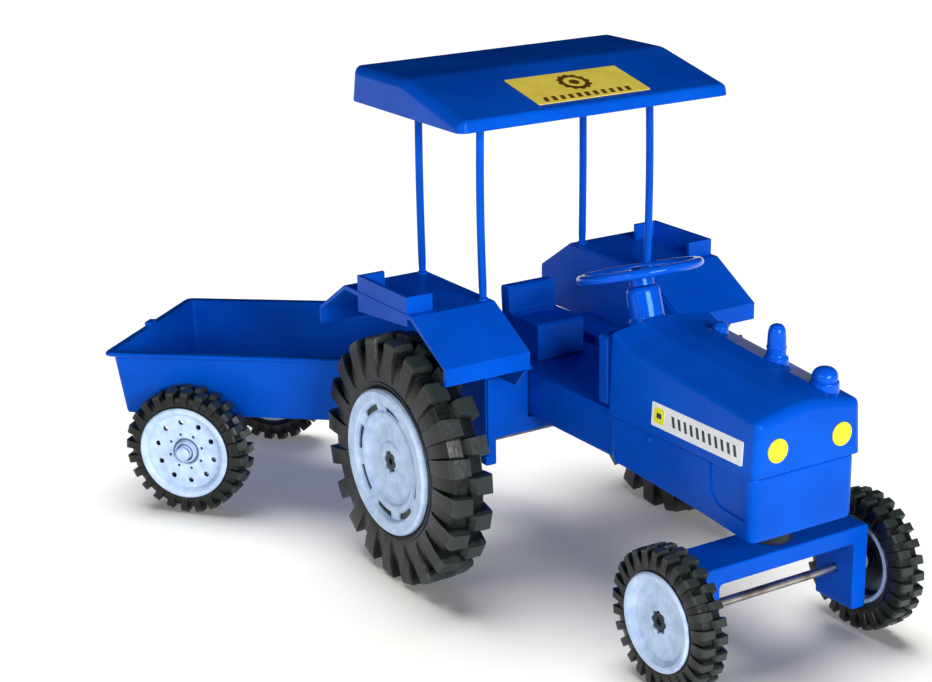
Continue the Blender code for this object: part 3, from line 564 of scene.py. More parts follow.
def make_bonnet_fittings():
    on_bonnet("exhaust_stack", "exhaust_pipe", -141.0,
              [(5.5, 0.0), (5.5, 1.3), (5.2, 2.0), (4.5, 2.5), (4.3, 3.6), (4.25, 5.8), (4.45, 6.1),
               (4.45, 6.7), (4.2, 7.0), (3.95, 12.6), (3.7, 14.2), (3.1, 15.6), (2.2, 16.4), (1.0, 16.75)])
    on_bonnet("precleaner_dome", "precleaner_cap", -172.0,
              [(6.3, 0.0), (6.3, 2.2), (6.1, 2.8), (5.2, 3.1), (5.1, 3.6), (5.6, 3.9), (5.65, 5.0),
               (5.3, 6.5), (4.5, 7.8), (3.2, 8.7), (1.7, 9.15), (0.5, 9.25)])
    on_bonnet("fuel_filler_knob", "fuel_cap", -103.0,
              [(3.7, 0.0), (3.7, 1.6), (3.5, 2.4), (2.9, 3.4), (2.0, 4.1), (0.8, 4.4)], 36)
    for k, y in enumerate((-149.5, -179.0)):
        place = spot(FITTINGS_X, y, bonnet_top(FITTINGS_X, y))
        pip = turned([(0.95, -0.4), (0.95, 0.25), (0.6, 0.6), (0.2, 0.7)], 20)
        finish(build("bonnet_pip_%d" % k, *pip, BLUE_GLOSS, place), "tractor")


def make_headlights():
    for word, s in SIDES:
        place = spot(s * 17.5, BONNET_FRONT - 0.05, 106.5) @ Matrix.Rotation(math.pi / 2, 4, "X")
        disc = turned([(5.25, 0.0), (5.2, 0.55), (4.9, 0.75), (3.2, 0.95), (0.6, 1.02)], 56)
        disc = build("headlight_disc_" + word, *disc, LEMON, place)
        finish(disc, "tractor", ["headlight_" + word])


def side_skin(z, out):
    """How far out the bonnet's side stands at z."""
    drop = (119.5 - z) / 24.7
    return 28.0 + 1.4 * drop + out


def on_side(name, s, outline, lo, hi, mat, nodes=()):
    """A flat thing on the bonnet's side: outline in (y, z), from lo to hi off the skin."""
    steps = ((0.0, lo), (0.0, hi - 0.05), (0.05, hi))
    loops = [[(s * side_skin(z, h), y, z) for y, z in inset(outline, d)] for d, h in steps]
    finish(build(name, *loft(loops), mat), "tractor", nodes)


def box_outline(y0, y1, z0, z1, round_by):
    return fillet([(y0, z0), (y1, z0), (y1, z1), (y0, z1)], round_by, 3)


def make_side_labels():
    """White stickers with a yellow square and a row of slanted bars."""
    z0, z1 = 99.4, 110.2
    y0, y1 = -122.6, -115.6
    for word, s in SIDES:
        plate = box_outline(-175.0, -113.8, z0, z1, 0.8)
        on_side("side_sticker_" + word, s, plate, 0.12, 0.45, WHITE, ["side_label_" + word])
        mark = box_outline(y0, y1, z0 + 1.9, z1 - 1.9, 0.9)
        on_side("side_mark_" + word, s, mark, 0.4, 0.56, LEMON)
        core = box_outline(y0 + 1.8, y1 - 1.8, z0 + 4.2, z1 - 4.2, 0.5)
        on_side("side_mark_core_" + word, s, core, 0.5, 0.62, DARK_INK)
        for k in range(11):
            y = -171.5 + k * 4.1
            bar = [(y, z0 + 3.0), (y + 1.7, z0 + 3.0), (y + 2.9, z1 - 3.0), (y + 1.2, z1 - 3.0)]
            on_side("side_bar_%s_%d" % (word, k), s, bar, 0.4, 0.56, DARK_INK)


# ------------------------------------------------------------------ driver's place

def make_dash():
    corners = [(-18.0, -81.7), (18.0, -81.7), (18.0, -72.5), (23.0, -72.5), (23.0, -64.0), (-23.0, -64.0),
               (-23.0, -72.5), (-18.0, -72.5)]
    plan = fillet(corners, [1.0, 1.0, 2.4, 1.6, 3.4, 3.4, 1.6, 2.4], 6)

    def top(y, d):
        return 127.0 + (-64.0 - y) * 2.0 / 17.7 - d
    loops = [[(x, y, BODY_TOP + 0.3) for x, y in inset(plan, 0.0)]]
    for d, drop in ((0.0, 2.6), (0.25, 1.3), (0.9, 0.45), (2.0, 0.0)):
        loops.append([(x, y, top(y, drop)) for x, y in inset(plan, d)])
    ob = build("dash_cowl", *loft(loops), BLUE_GLOSS)
    finish(ob, "tractor", ["dash_panel"])


COLUMN = spot(0.0, -72.5, 128.8) @ Matrix.Rotation(math.radians(-16.0), 4, "X")
RING_Z = 25.0  # the steering wheel's height along its column


def spoke(angle):
    """A steering wheel spoke, tapering out to the ring."""
    out = Vector((math.cos(angle), math.sin(angle), 0))
    side = Vector((-math.sin(angle), math.cos(angle), 0))
    loops = []
    for r, w, lo, hi in ((3.0, 3.0, -2.2, 1.3), (14.0, 2.3, -1.5, 0.9), (26.4, 2.0, -0.9, 0.8)):
        low, high = Vector((0, 0, RING_Z + lo)), Vector((0, 0, RING_Z + hi))
        loops.append([out * r - side * w + low, out * r + side * w + low,
                      out * r + side * (w - 0.6) + high, out * r - side * (w - 0.6) + high])
    return loft(loops)


def make_steering():
    boss = turned([(8.9, 0.6), (8.9, 2.4), (8.3, 3.4), (8.15, 4.4), (7.8, 15.4), (7.4, 16.9), (6.4, 17.8),
                   (5.2, 18.1)], 56)
    column = build("steering_boss", *boss, BLUE_GLOSS, COLUMN)
    finish(column, "tractor", ["steering_column"])
    loops = []
    for a in circle(96):
        ring = [(27.0 + 2.3 * math.cos(b), RING_Z + 2.2 * math.sin(b)) for b in circle(16)]
        loops.append([(r * math.cos(a), r * math.sin(a), z) for r, z in ring])
    wheel = build("steering_ring", *loft(loops, True), BLUE_GLOSS, COLUMN)
    hub = [(5.6, 18.5), (5.6, RING_Z - 1.0), (5.1, RING_Z + 1.0), (3.6, RING_Z + 1.9), (1.2, RING_Z + 2.2)]
    spokes = [spoke(math.radians(90.0 + 120.0 * k)) for k in range(3)]
    combine(wheel, [turned(hub, 40)] + spokes, "UNION")
    finish(wheel, "steering", ["steering_wheel"], angle=50.0)


def make_seat():
    base = BODY_TOP + 0.3
    outline = fillet([(-3.0, base), (28.0, base), (30.0, 126.0), (23.0, 126.0), (22.0, 112.4), (-3.0, 113.0)],
                     [0.6, 0.6, 2.2, 2.2, 3.0, 2.4], 5)
    seat = build("seat_moulding", *prism_x(outline, -13.5, 13.5), BLUE)
    bevel(seat, 1.5, 4, 50.0)
    dish = fillet([(-1.0, -10.6), (19.8, -10.6), (19.8, 10.6), (-1.0, 10.6)], 3.0, 5)
    hollow = loft([[(x, y, 111.6) for y, x in dish], [(x * 1.03, y, 118.0) for y, x in dish]])
    combine(seat, [hollow], "DIFFERENCE")
    finish(seat, "tractor", ["seat"])


# ------------------------------------------------------------------ fenders and canopy

def sheet_path(grow):
    """Side view of the bent fender sheet; grow moves it outward from the wheel."""
    return [(-39.0 - grow, 107.5), (-39.0 - grow, 115.0 + grow * 0.4), (-11.0 - grow * 0.35, 131.0 + grow),
            (51.0 + grow * 0.35, 131.0 + grow), (76.0 + grow, 115.0 + grow * 0.4), (76.0 + grow, 107.5)]


def make_fender(word, s):
    def across(outline, a, b):
        return prism_x(outline, s * a, s * b)

    def slab(a, b, *rest):
        return block(*sorted((s * a, s * b)), *rest)
    ob = build("mudguard_" + word, *across(sheet_path(2.0) + sheet_path(0.0)[::-1], 44.0, 89.5), BLUE)
    wall = [(-40.0, 108.0), (-40.0, 115.0), (-11.0, 132.0), (51.0, 132.0), (77.0, 115.0), (77.0, 96.6),
            (-30.0, 96.6)]
    foot_front = -16.0 if s < 0 else -30.0
    out, inn, y0, y1 = 89.1, 87.1, -7.0, 39.0
    rail = [(out - 14.0, y0), (out, y0), (out, y1), (out - 14.0, y1), (out - 14.0, y1 - 2.0), (inn, y1 - 2.0),
            (inn, y0 + 2.0), (out - 14.0, y0 + 2.0)]
    skirt = [(y0, 140.0), (y0, 127.0), (y1, 123.0), (y1, 140.0)]
    parts = [across(wall, 43.2, 45.2),
             slab(25.6, 44.2, foot_front, 40.0, 96.6, 98.6),
             slab(25.6, 27.6, 12.6, 40.0, 91.5, 97.6),
             prism_z([(s * x, y) for x, y in rail], 132.0, 141.0),
             across(skirt, inn, out - 0.02)]
    combine(ob, parts, "UNION")
    bevel(ob, 0.55, 3, 25.0)
    finish(ob, "tractor", ["fender_" + word], angle=30.0)
    for k, y in enumerate(POSTS_Y):
        socket = turned([(2.7, 133.2), (2.7, 133.7), (2.4, 134.1), (2.0, 134.4)], 28)
        finish(build("post_socket_%s_%d" % (word, k), *socket, BLUE, spot(s * POST_X, y, 0.0)), "tractor")


def canopy_under(y):
    """Height of the canopy's inner face."""
    return 235.0 - max(0.0, 14.0 - y) * 0.245


def make_posts():
    """Plain round posts, each bowed out a little."""
    for word, s in SIDES:
        for which, y, bow in (("front", POSTS_Y[0], 0.9), ("rear", POSTS_Y[1], 0.5)):
            low, top = 133.3, canopy_under(y) - 0.6
            loops = []
            for k in range(17):
                t = k / 16
                x = s * (POST_X + bow * math.sin(math.pi * t))
                r = 1.9 - (0.25 if k in (0, 16) else 0.0)
                z = low + (top - low) * t
                loops.append([(x + r * math.cos(a), y + r * math.sin(a), z) for a in circle(24)])
            post = build("canopy_post_%s_%s" % (which, word), *loft(loops), BLUE)
            finish(post, "tractor", ["post_%s_%s" % (which, word)], angle=50.0)


CANOPY_TOP, CANOPY_LIP = 237.0, 225.5
CANOPY_BEND_Y = 15.0


def canopy_section(x, d, low):
    """The canopy's side view at x, moved inward by d everywhere but at its lower edge."""
    top = CANOPY_TOP - d
    pts = [(64.0 - d, low), (61.4 - d, top), (CANOPY_BEND_Y, top), (-34.0 + d, CANOPY_LIP - d),
           (-35.0 + d, low)]
    return [(x, y, z) for y, z in fillet(pts, [0.3, 3.0, 26.0, 2.6, 0.3], 8)]


def canopy_solid(skin, rounding, low):
    """The canopy as a solid that lies skin inside its outer face, its ends rounded."""
    ends = []
    for k in range(9):
        a = math.pi / 2 * k / 8
        ends.append((76.0 - skin - rounding * (1 - math.cos(a)), skin + rounding * (1 - math.sin(a))))
    right = [canopy_section(-x, d, low) for x, d in ends]
    left = [canopy_section(x, d, low) for x, d in ends[::-1]]
    return loft(right + left)


def make_canopy():
    ob = build("canopy_roof", *canopy_solid(0.0, 4.6, 220.0), BLUE)
    combine(ob, [canopy_solid(1.8, 2.8, 216.0)], "DIFFERENCE")
    finish(ob, "tractor", ["canopy"], angle=40.0)
    for _, s in SIDES:
        for k, y in enumerate(POSTS_Y):
            top = canopy_under(y)
            boss = turned([(3.1, top - 5.0), (3.6, top - 4.6), (4.0, top + 0.6)], 28)
            finish(build("canopy_boss_%d_%d" % (s + 1, k), *boss, BLUE, spot(s * POST_X, y, 0.0)), "tractor")


def roof_skin(y):
    """Height of the canopy's front slope."""
    return CANOPY_TOP - (CANOPY_BEND_Y - y) * (CANOPY_TOP - CANOPY_LIP) / 49.0


def on_roof(name, outline, lo, hi, mat, nodes=()):
    """A flat thing on the canopy's front slope: outline in (x, y)."""
    loops = [[(x, y, roof_skin(y) + h) for x, y in inset(outline, d)] for d, h in
             ((0.0, lo), (0.0, hi - 0.06), (0.12, hi))]
    finish(build(name, *loft(loops), mat), "tractor", nodes)


def toothed_ring(name, cx, cy, outer, inner, lo, hi, mat, teeth):
    """A flat ring on the roof with a scalloped outer edge."""
    loops = []
    for a in circle(96):
        r = outer + 0.55 * math.cos(teeth * a)
        ring = []
        for q, h in ((inner, lo), (r, lo), (r, hi), (inner, hi)):
            y = cy + q * math.sin(a)
            ring.append((cx + q * math.cos(a), y, roof_skin(y) + h))
        loops.append(ring)
    finish(build(name, *loft(loops, True), mat), "tractor")


def make_roof_label():
    """A yellow sticker with a plain toothed ring over a row of slanted bars."""
    plate = fillet([(-30.0, -29.0), (33.0, -29.0), (33.0, 0.0), (-30.0, 0.0)], 1.0, 4)
    on_roof("roof_sticker", plate, 0.1, 0.42, YELLOW, ["canopy_label"])
    cx, cy = 1.5, -11.5
    toothed_ring("roof_mark_ring", cx, cy, 8.0, 5.2, 0.38, 0.5, BROWN_INK, 12)
    core = [(cx + 2.6 * math.cos(a), cy + 2.6 * math.sin(a)) for a in circle(40)]
    on_roof("roof_mark_core", core, 0.38, 0.52, BROWN_INK)
    for k in range(11):
        x = -25.0 + 4.6 * k
        bar = [(x, -27.2), (x + 2.4, -27.2), (x + 3.3, -22.8), (x + 0.9, -22.8)]
        on_roof("roof_bar_%d" % k, bar, 0.38, 0.5, BROWN_INK)


# ------------------------------------------------------------------ wheels

def tyre_points(radius, half, bead, lug):
    """Matching (x, radius) points of the carcass and of a lug's surface, side to side."""
    h = radius - bead
    floor = radius - lug
    bare = [(0.74, bead), (0.85, bead + 0.13 * h), (0.92, bead + 0.26 * h), (0.92, bead + 0.42 * h),
            (0.87, bead + 0.55 * h), (0.78, floor - 0.07 * h), (0.68, floor - 0.02 * h), (0.42, floor),
            (0.1, floor + 0.01 * h)]
    proud = [(0.74, bead), (0.87, bead + 0.13 * h), (0.985, bead + 0.32 * h), (1.0, bead + 0.46 * h),
             (0.995, bead + 0.68 * h), (0.93, radius - 0.07 * h), (0.84, radius - 0.01 * h), (0.42, radius),
             (0.1, radius)]

    def both(side):
        return [(-x * half, r) for x, r in side] + [(x * half, r) for x, r in side[::-1]]
    return both(bare), both(proud)


LUG_WIDE, LUG_THIN = 0.255, 0.145  # half a lug at its own shoulder and past the middle, in pitches
LUG_WALL = 0.045


def tyre_loop(bare, proud, width, own, edge, up, turn, pitch):
    """One line of points across the tyre, on one wall of the lug that starts at the own side."""
    count = len(bare)
    loop = []
    for i, (x, r) in enumerate(bare):
        across = 0.5 + own * x / width
        reach = LUG_THIN + (LUG_WIDE - LUG_THIN) * across + (0.0 if up else LUG_WALL)
        lean = 0.1 * x / width
        from_own = i if own < 0 else count - 1 - i
        a = pitch * (turn + 0.5 + 0.25 * own + edge * reach + lean)
        if up and 2 <= from_own <= count // 2 - 1:
            x, r = proud[i]
        loop.append((x, r * math.cos(a), r * math.sin(a)))
    return loop


def make_tyre(kind, word, radius, width, bead, lugs, lug, mat, place, soften=0.2):
    """A lugged tyre: lugs run in from each shoulder, turn about, and just pass the middle."""
    name, body = "%s_lug_tyre_%s" % (kind, word), "%s_wheel_%s" % (kind, word)
    bare, proud = tyre_points(radius, width / 2, bead, lug)
    pitch = 2 * math.pi / lugs
    loops = []
    for k in range(lugs):
        for own in (-1, 1):
            for edge, up in ((-1, False), (-1, True), (1, True), (1, False)):
                loops.append(tyre_loop(bare, proud, width, own, edge, up, k, pitch))
    ob = build(name, *loft(loops, True), mat, place)
    bevel(ob, soften, 2, 32.0)
    finish(ob, body, ["%s_tyre_%s" % (kind, word)], 50.0)
    h = radius - bead
    for side in (-1, 1):
        x = side * width / 2
        ring = [(bead + 0.1 * h, x * 0.83), (bead + 0.16 * h, x * 0.93), (bead + 0.2 * h, x * 0.94),
                (bead + 0.22 * h, x * 0.86)]
        rib = build("%s_rib_%d" % (name, side + 1), *turned_about_x(ring, 120), mat, place)
        finish(rib, body)


def star(count, depth, low, high, beyond):
    """Lobes round a hub's centre hole, only on the wall between those radii."""
    def wobble(r, x, a):
        return depth * math.cos(count * a) if low < r < high and x > beyond else 0.0
    return wobble


def make_rim(kind, word, outline, mat, side, place, radii=0.5, wobble=None, cuts=(), sides=120):
    """A hub turned from an outline of (radius, x), x being outward from the wheel's middle."""
    smooth = fillet(outline, radii, 3)
    verts, faces = turned_about_x(smooth, sides, wobble)
    verts = [(side * x, y, z) for x, y, z in verts]
    ob = build("%s_hub_%s" % (kind, word), verts, faces, mat, place)
    if cuts:
        combine(ob, cuts, "DIFFERENCE")
    finish(ob, "%s_wheel_%s" % (kind, word), ["%s_rim_%s" % (kind, word)], 32.0)


def star_shade_plug(kind, word, side, radius, x0, x1, place):
    """A dark star-shaped plug that fills a hub's centre hole, as painted shade for the shaded hole."""
    loops = []
    for x, r in ((x0, radius), (x1 - 0.4, radius), (x1, radius - 0.3), (x1, 1.9), (x1 - 1.0, 1.6)):
        ring = [(r + 0.5 * math.cos(8 * a), a) for a in circle(96)]
        loops.append([(side * x, q * math.cos(a), q * math.sin(a)) for q, a in ring])
    shade_plug = build("%s_hub_plug_%s" % (kind, word), *loft(loops), DARK, place)
    finish(shade_plug, "%s_wheel_%s" % (kind, word), angle=30.0)


def trailer_nut(word, side, place):
    """The push-on cap at the end of the trailer's rod."""
    turn = place @ Matrix.Rotation(side * math.pi / 2, 4, "Y") @ Matrix.Translation((0, 0, 63.9 * MM))
    profile = [(3.5, 0.0), (3.5, 0.7), (2.8, 1.2), (1.9, 1.1), (1.5, 0.9), (0.5, 0.95)]
    finish(build("trailer_hub_nut_" + word, *turned(profile, 36), NUT_PLASTIC, turn), "trailer",
           ["trailer_hub_cap_" + word])


def slots(count, r0, r1, spread, x0, x1, side):
    """Curved slots in a ring round the axle."""
    out = []
    for k in range(count):
        mid = 2 * math.pi * k / count + math.radians(11.0)
        steps = [mid + spread * (t / 4 - 1) for t in range(9)]
        outline = [(r0 * math.cos(a), r0 * math.sin(a)) for a in steps]
        outline += [(r1 * math.cos(a), r1 * math.sin(a)) for a in reversed(steps)]
        outline = fillet(outline, 0.7, 2)
        out.append(loft([[(side * x, y, z) for y, z in outline] for x in (x0, x1)]))
    return out


def drilled(count, at, radius, lo, hi, side, start=0.0, end=None):
    """Round holes in a ring round the axle, tapering to end at their inner ends."""
    out = []
    for a in circle(count, start):
        y, z = at * math.cos(a), at * math.sin(a)
        rings = []
        for x, r in ((lo, end if end is not None else radius), (hi, radius)):
            rings.append([(side * x, y + r * math.cos(b), z + r * math.sin(b)) for b in circle(16)])
        out.append(loft(rings))
    return out


def make_rear_wheel(word, side):
    place = wheel_frame("rear_tyre_" + word)
    make_tyre("rear", word, REAR_R, 23.0, 33.0, 20, 5.5, REAR_TYRE, place, 0.4)
    outline = [(35.3, 9.5), (35.3, 12.0), (34.2, 13.2), (29.2, 12.7), (28.4, 12.0), (28.1, 10.6), (24.6, 10.3),
               (24.2, 11.0), (23.2, 11.2), (21.6, 10.8), (20.6, 9.0), (18.6, 8.2), (10.2, 8.6), (8.8, 9.6),
               (7.0, 9.9), (5.2, 9.9), (5.2, 5.2), (HUB_BORE_R, 5.2), (HUB_BORE_R, -9.8), (5.4, -9.8),
               (5.4, 4.0), (19.0, 4.6), (25.6, 6.0), (30.6, -8.5), (32.7, -8.5), (32.7, 9.5)]
    cuts = slots(8, 24.9, 27.9, math.radians(14.0), 2.0, 20.0, side)
    make_rim("rear", word, outline, REAR_HUB, side, place, 0.6, star(8, 0.5, 4.6, 5.6, 4.7), cuts, 144)
    star_shade_plug("rear", word, side, 4.6, 5.4, 9.2, place)
    # Dark tyre plastic filling the hub's slots, as painted shade for the shaded openings.
    slot_shade = build("rear_slot_backing_" + word, *block(0, 0.1, 0, 0.1, 0, 0.1), REAR_TYRE, place)
    combine(slot_shade, slots(8, 25.0, 27.8, math.radians(13.7), 5.8, 9.7, side), "UNION")
    finish(slot_shade, "rear_wheel_" + word)


def make_front_wheel(word, side):
    place = wheel_frame("front_tyre_" + word)
    make_tyre("front", word, FRONT_R, 14.0, 19.9, 26, 2.6, FRONT_TYRE, place)
    outline = [(22.0, 6.4), (22.0, 7.2), (21.1, 8.0), (19.2, 7.7), (18.2, 6.2), (16.8, 5.0), (12.0, 4.7),
               (7.6, 5.3), (5.9, 5.8), (4.9, 5.8), (4.9, 2.6), (HUB_BORE_R, 2.6), (HUB_BORE_R, -6.3),
               (4.8, -6.3), (4.8, 1.4), (15.4, 2.0), (17.6, -5.2), (19.6, -5.2), (19.6, 6.4)]
    make_rim("front", word, outline, FRONT_HUB, side, place, 0.7, star(8, 0.5, 4.4, 5.3, 2.4))
    star_shade_plug("front", word, side, 4.3, 2.7, 5.3, place)


def make_trailer_wheel(word, side):
    place = wheel_frame("trailer_tyre_" + word, TRAILER_AXLE)
    make_tyre("trailer", word, TRAILER_R, 16.0, 22.3, 24, 2.6, TRAILER_TYRE, place)
    outline = [(24.4, 7.4), (24.4, 8.2), (23.6, 9.0), (22.0, 8.7), (20.8, 7.6), (19.8, 5.3), (17.6, 4.9),
               (7.4, 5.2), (6.9, 4.4), (5.8, 4.4), (5.5, 6.8), (5.1, 7.1), (4.8, 7.0), (4.6, 4.4), (3.9, 4.4),
               (3.6, 7.2), (2.8, 7.2), (HUB_BORE_R, 6.8), (HUB_BORE_R, -7.2), (4.8, -7.2), (4.8, 2.2),
               (18.6, 2.6), (20.0, -5.9), (22.0, -5.9), (22.0, 7.4)]
    cuts = drilled(10, 15.8, 1.45, -3.0, 12.0, side, math.radians(11.0))
    cuts += drilled(8, 9.3, 0.95, 3.0, 6.4, side, math.radians(29.0), 0.6)
    make_rim("trailer", word, outline, TRAILER_HUB, side, place, 0.5, None, cuts)


# ------------------------------------------------------------------ axles, brackets, hitch

def axle_bar(name, x0, x1, body, node, place, chamfer=0.4):
    """A plain steel rod along the frame's X."""
    bar = build(name, *rod(ROD_R, (x0, 0, 0), (x1, 0, 0), 32, chamfer), STEEL, place)
    finish(bar, body, [node])


def axle_bore(y, z):
    """The hole for a rod, right across a bracket."""
    return rod(BORE_R, (-60, y, z), (60, y, z), 24)


def make_front_axle():
    """A bracket like a flat-topped arch, its rod, and the post it turns on."""
    y = FRONT_AXLE_Y
    axle_bar("front_axle_bar", -57.3, 57.3, "front_axle", "front_axle_rod", spot(0.0, y, FRONT_R))
    outline = [(-45.5, 15.5), (-37.5, 15.5), (-37.5, 47.3), (37.5, 47.3), (37.5, 15.5), (45.5, 15.5),
               (45.5, 55.3), (-45.5, 55.3)]
    plate = fillet(outline, [1.6, 1.6, 2.2, 2.2, 1.6, 1.6, 1.4, 1.4], 4)
    ob = build("front_axle_beam", *prism_y(plate, y - 12.0, y + 12.0), BLUE)
    bevel(ob, 0.8, 3, 50.0)
    combine(ob, [axle_bore(y, FRONT_R), rod(3.3, (0, y, 40.0), (0, y, 60.0), 28)], "DIFFERENCE")
    finish(ob, "front_axle", ["front_axle_bracket"])
    post = turned([(5.0, 45.4), (5.0, 46.9), (2.95, 47.0), (2.95, 55.7), (8.6, 55.7), (9.0, 56.2),
                   (9.0, 66.8), (8.4, 67.6)], 40)
    # The post is dark as painted shade for the shaded gap between the body and the axle bracket.
    post = build("kingpin_post", *post, DARK, spot(0, y, 0))
    finish(post, "tractor", ["kingpin_boss"])


def make_rear_axle():
    axle_bar("rear_axle_bar", -91.8, 75.8, "tractor", "rear_axle_rod", spot(0.0, 0.0, REAR_R))
    side = 25.5
    outline = [(-50.0, 51.0), (-44.0, 51.0), (-44.0, 64.0), (44.0, 64.0), (44.0, 51.0), (50.0, 51.0),
               (50.0, 96.0), (side, 96.0), (side, 71.2), (-side, 71.2), (-side, 96.0), (-50.0, 96.0)]
    plate = fillet(outline, [1.0, 1.0, 1.2, 1.2, 1.0, 1.0, 0.8, 0.8, 0.8, 0.8, 0.8, 0.8], 3)
    ob = build("rear_axle_housing", *prism_y(plate, -12.0, 12.0), BLUE)
    combine(ob, [axle_bore(0, REAR_R)], "DIFFERENCE")
    bevel(ob, 0.7, 3, 50.0)
    finish(ob, "tractor", ["rear_axle_bracket"])
    for _, s in SIDES:
        x0, x1 = sorted((s * 45.2, s * 49.4))
        rib = build("axle_leg_rib_%d" % (s + 1), *block(x0, x1, -13.2, -11.8, 56.0, 95.0), BLUE)
        bevel(rib, 0.5, 3)
        finish(rib, "tractor")


def make_hitch():
    """A shelf under the body's rear end, with an upright pin."""
    outline = [(30.0, 47.0), (64.0, 47.0), (64.0, 50.0), (35.0, 50.0), (35.0, 71.2), (30.0, 71.2)]
    shelf = prism_x(fillet(outline, [1.0, 1.2, 1.2, 2.0, 0.8, 0.8], 4), -9.0, 9.0)
    ob = build("hitch_shelf", *shelf, BLUE)
    bevel(ob, 0.6, 2, 50.0)
    combine(ob, [rod(2.75, (0, HITCH_Y, 42.0), (0, HITCH_Y, 60.0), 28)], "DIFFERENCE")
    finish(ob, "tractor", ["hitch_bracket"])
    pin = turned([(1.6, 45.3), (2.4, 46.1), (2.4, 57.5), (4.4, 57.6), (4.6, 58.0), (4.6, 59.0), (3.9, 59.8),
                  (2.0, 60.4)], 36)
    finish(build("hitch_peg", *pin, STEEL, spot(0, HITCH_Y, 0)), "tractor", ["hitch_pin"])


# ------------------------------------------------------------------ trailer

def tub_ring(half, front, rear, z, corner):
    pts = fillet([(-half, front), (half, front), (half, rear), (-half, rear)], corner, 6)
    return [(x, y, z) for x, y in pts]


TUB_FRONT, TUB_REAR = 42.0, 196.5


def make_tub():
    """The open tub: each ring is (half width, distance in from the rim's ends, height, corner)."""
    rings = [(42.6, 6.2, 47.0, 2.2), (43.4, 5.4, 47.4, 2.8), (43.9, 4.9, 48.6, 3.2), (48.0, 3.5, 80.0, 3.6),
             (48.6, 2.9, 80.4, 3.8), (50.7, 0.8, 80.4, 4.4), (51.4, 0.1, 80.9, 4.6), (51.5, 0.0, 81.9, 4.6),
             (51.0, 0.5, 82.6, 4.4), (46.8, 4.7, 82.6, 3.2), (46.1, 5.4, 82.0, 2.8), (42.2, 6.7, 51.4, 2.6),
             (41.5, 7.4, 49.6, 2.4), (40.1, 8.8, 49.0, 2.0)]
    loops = [tub_ring(half, TUB_FRONT + d, TUB_REAR - d, z, corner) for half, d, z, corner in rings]
    ob = build("trailer_bed", *loft(loops), BLUE, TRAILER)
    combine(ob, [block(-3.4, 3.4, TUB_REAR - 4.2, TUB_REAR - 0.6, 81.6, 84.6)], "UNION")
    finish(ob, "trailer", ["trailer_tub"], angle=32.0)


def make_floor_ribs():
    """Ribs under the tub, cut away for the tongue and left out over the axle."""
    for k in range(5):
        y = TUB_FRONT + 22.0 + 26.0 * k
        if abs(y - TUB_AXLE_Y) < 12.0:
            continue
        plate = block(-36.0, 36.0, y - 0.8, y + 0.8, 45.6, 47.6)
        rib = build("trailer_floor_rib_%d" % k, *plate, BLUE, TRAILER)
        combine(rib, [block(-7.4, 7.4, y - 3, y + 3, 40.0, 60.0)], "DIFFERENCE")
        bevel(rib, 0.3, 2)
        finish(rib, "trailer")


def make_tongue():
    """The drawbar, with a round eye for the hitch pin and a groove along its top."""
    eye = [(8.0 * math.cos(math.radians(a)), 8.0 * math.sin(math.radians(a))) for a in range(145, 396, 10)]
    plan = [(6.5, 149.5), (-6.5, 149.5), (-6.5, 6.0)] + eye + [(6.5, 6.0)]
    ob = build("trailer_tongue", *prism_z(plan, 42.7, 46.7), BLUE, TRAILER)
    groove = block(-3.6, 3.6, 14.0, 40.0, 44.9, 55.0)
    combine(ob, [rod(3.4, (0, 0, 40), (0, 0, 55), 28), groove], "DIFFERENCE")
    bevel(ob, 0.5, 2, 50.0)
    finish(ob, "trailer", ["trailer_drawbar"])


def make_trailer_axle():
    axle = spot(0, TUB_AXLE_Y, TRAILER_R, TRAILER)
    y0, y1 = TUB_AXLE_Y - 9.0, TUB_AXLE_Y + 9.0
    for word, s in SIDES:
        x0, x1 = sorted((s * 33.0, s * 38.0))
        plate = fillet([(y0, 26.2), (y1, 26.2), (y1, 46.7), (y0, 46.7)], [6.0, 6.0, 0.6, 0.6], 6)
        leg = build("trailer_leg_" + word, *prism_x(plate, x0, x1), BLUE, TRAILER)
        combine(leg, [axle_bore(TUB_AXLE_Y, TRAILER_R)], "DIFFERENCE")
        bevel(leg, 0.7)
        finish(leg, "trailer", ["trailer_axle_leg_" + word])
        trailer_nut(word, s, axle)
    axle_bar("trailer_axle_bar", -63.4, 63.4, "trailer", "trailer_axle_rod", axle, 0.3)


# ------------------------------------------------------------------ stage

def make_floor():
    me = bpy.data.meshes.new("floor")
    bm = bmesh.new()
    reach, level = 9.0, -0.0002
    corners = [(-reach, -reach), (reach, -reach), (reach, reach), (-reach, reach)]
    bm.faces.new([bm.verts.new((x, y, level)) for x, y in corners])
    bm.to_mesh(me)
    bm.free()
    mat, tree, shader = shader_tree("pale_floor")
    tone = place_noise(tree, 3.0)
    tree.links.new(ramp(tree, tone.outputs["Fac"], [(0.3, (0.87, 0.86, 0.82)), (0.7, (0.89, 0.88, 0.84))]),
                   shader.inputs["Base Color"])
    shader.inputs["Roughness"].default_value = 0.9
    shader.inputs["Specular IOR Level"].default_value = 0.1
    me.materials.append(mat)
    ob = bpy.data.objects.new("floor", me)
    bpy.context.scene.collection.objects.link(ob)
    ob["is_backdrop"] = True
    return ob


def area_light(name, at, target, size, power, only=None, glossy=True):
    data = bpy.data.lights.new(name, "AREA")
    data.shape = "RECTANGLE"
    data.size, data.size_y = size
    data.energy = power
    ob = bpy.data.objects.new(name, data)
    bpy.context.scene.collection.objects.link(ob)
    ob.location = at
    ob.rotation_euler = (Vector(target) - Vector(at)).to_track_quat("-Z", "Y").to_euler()
    ob.visible_glossy = glossy
    if only:
        ob.light_linking.receiver_collection = only
    return ob


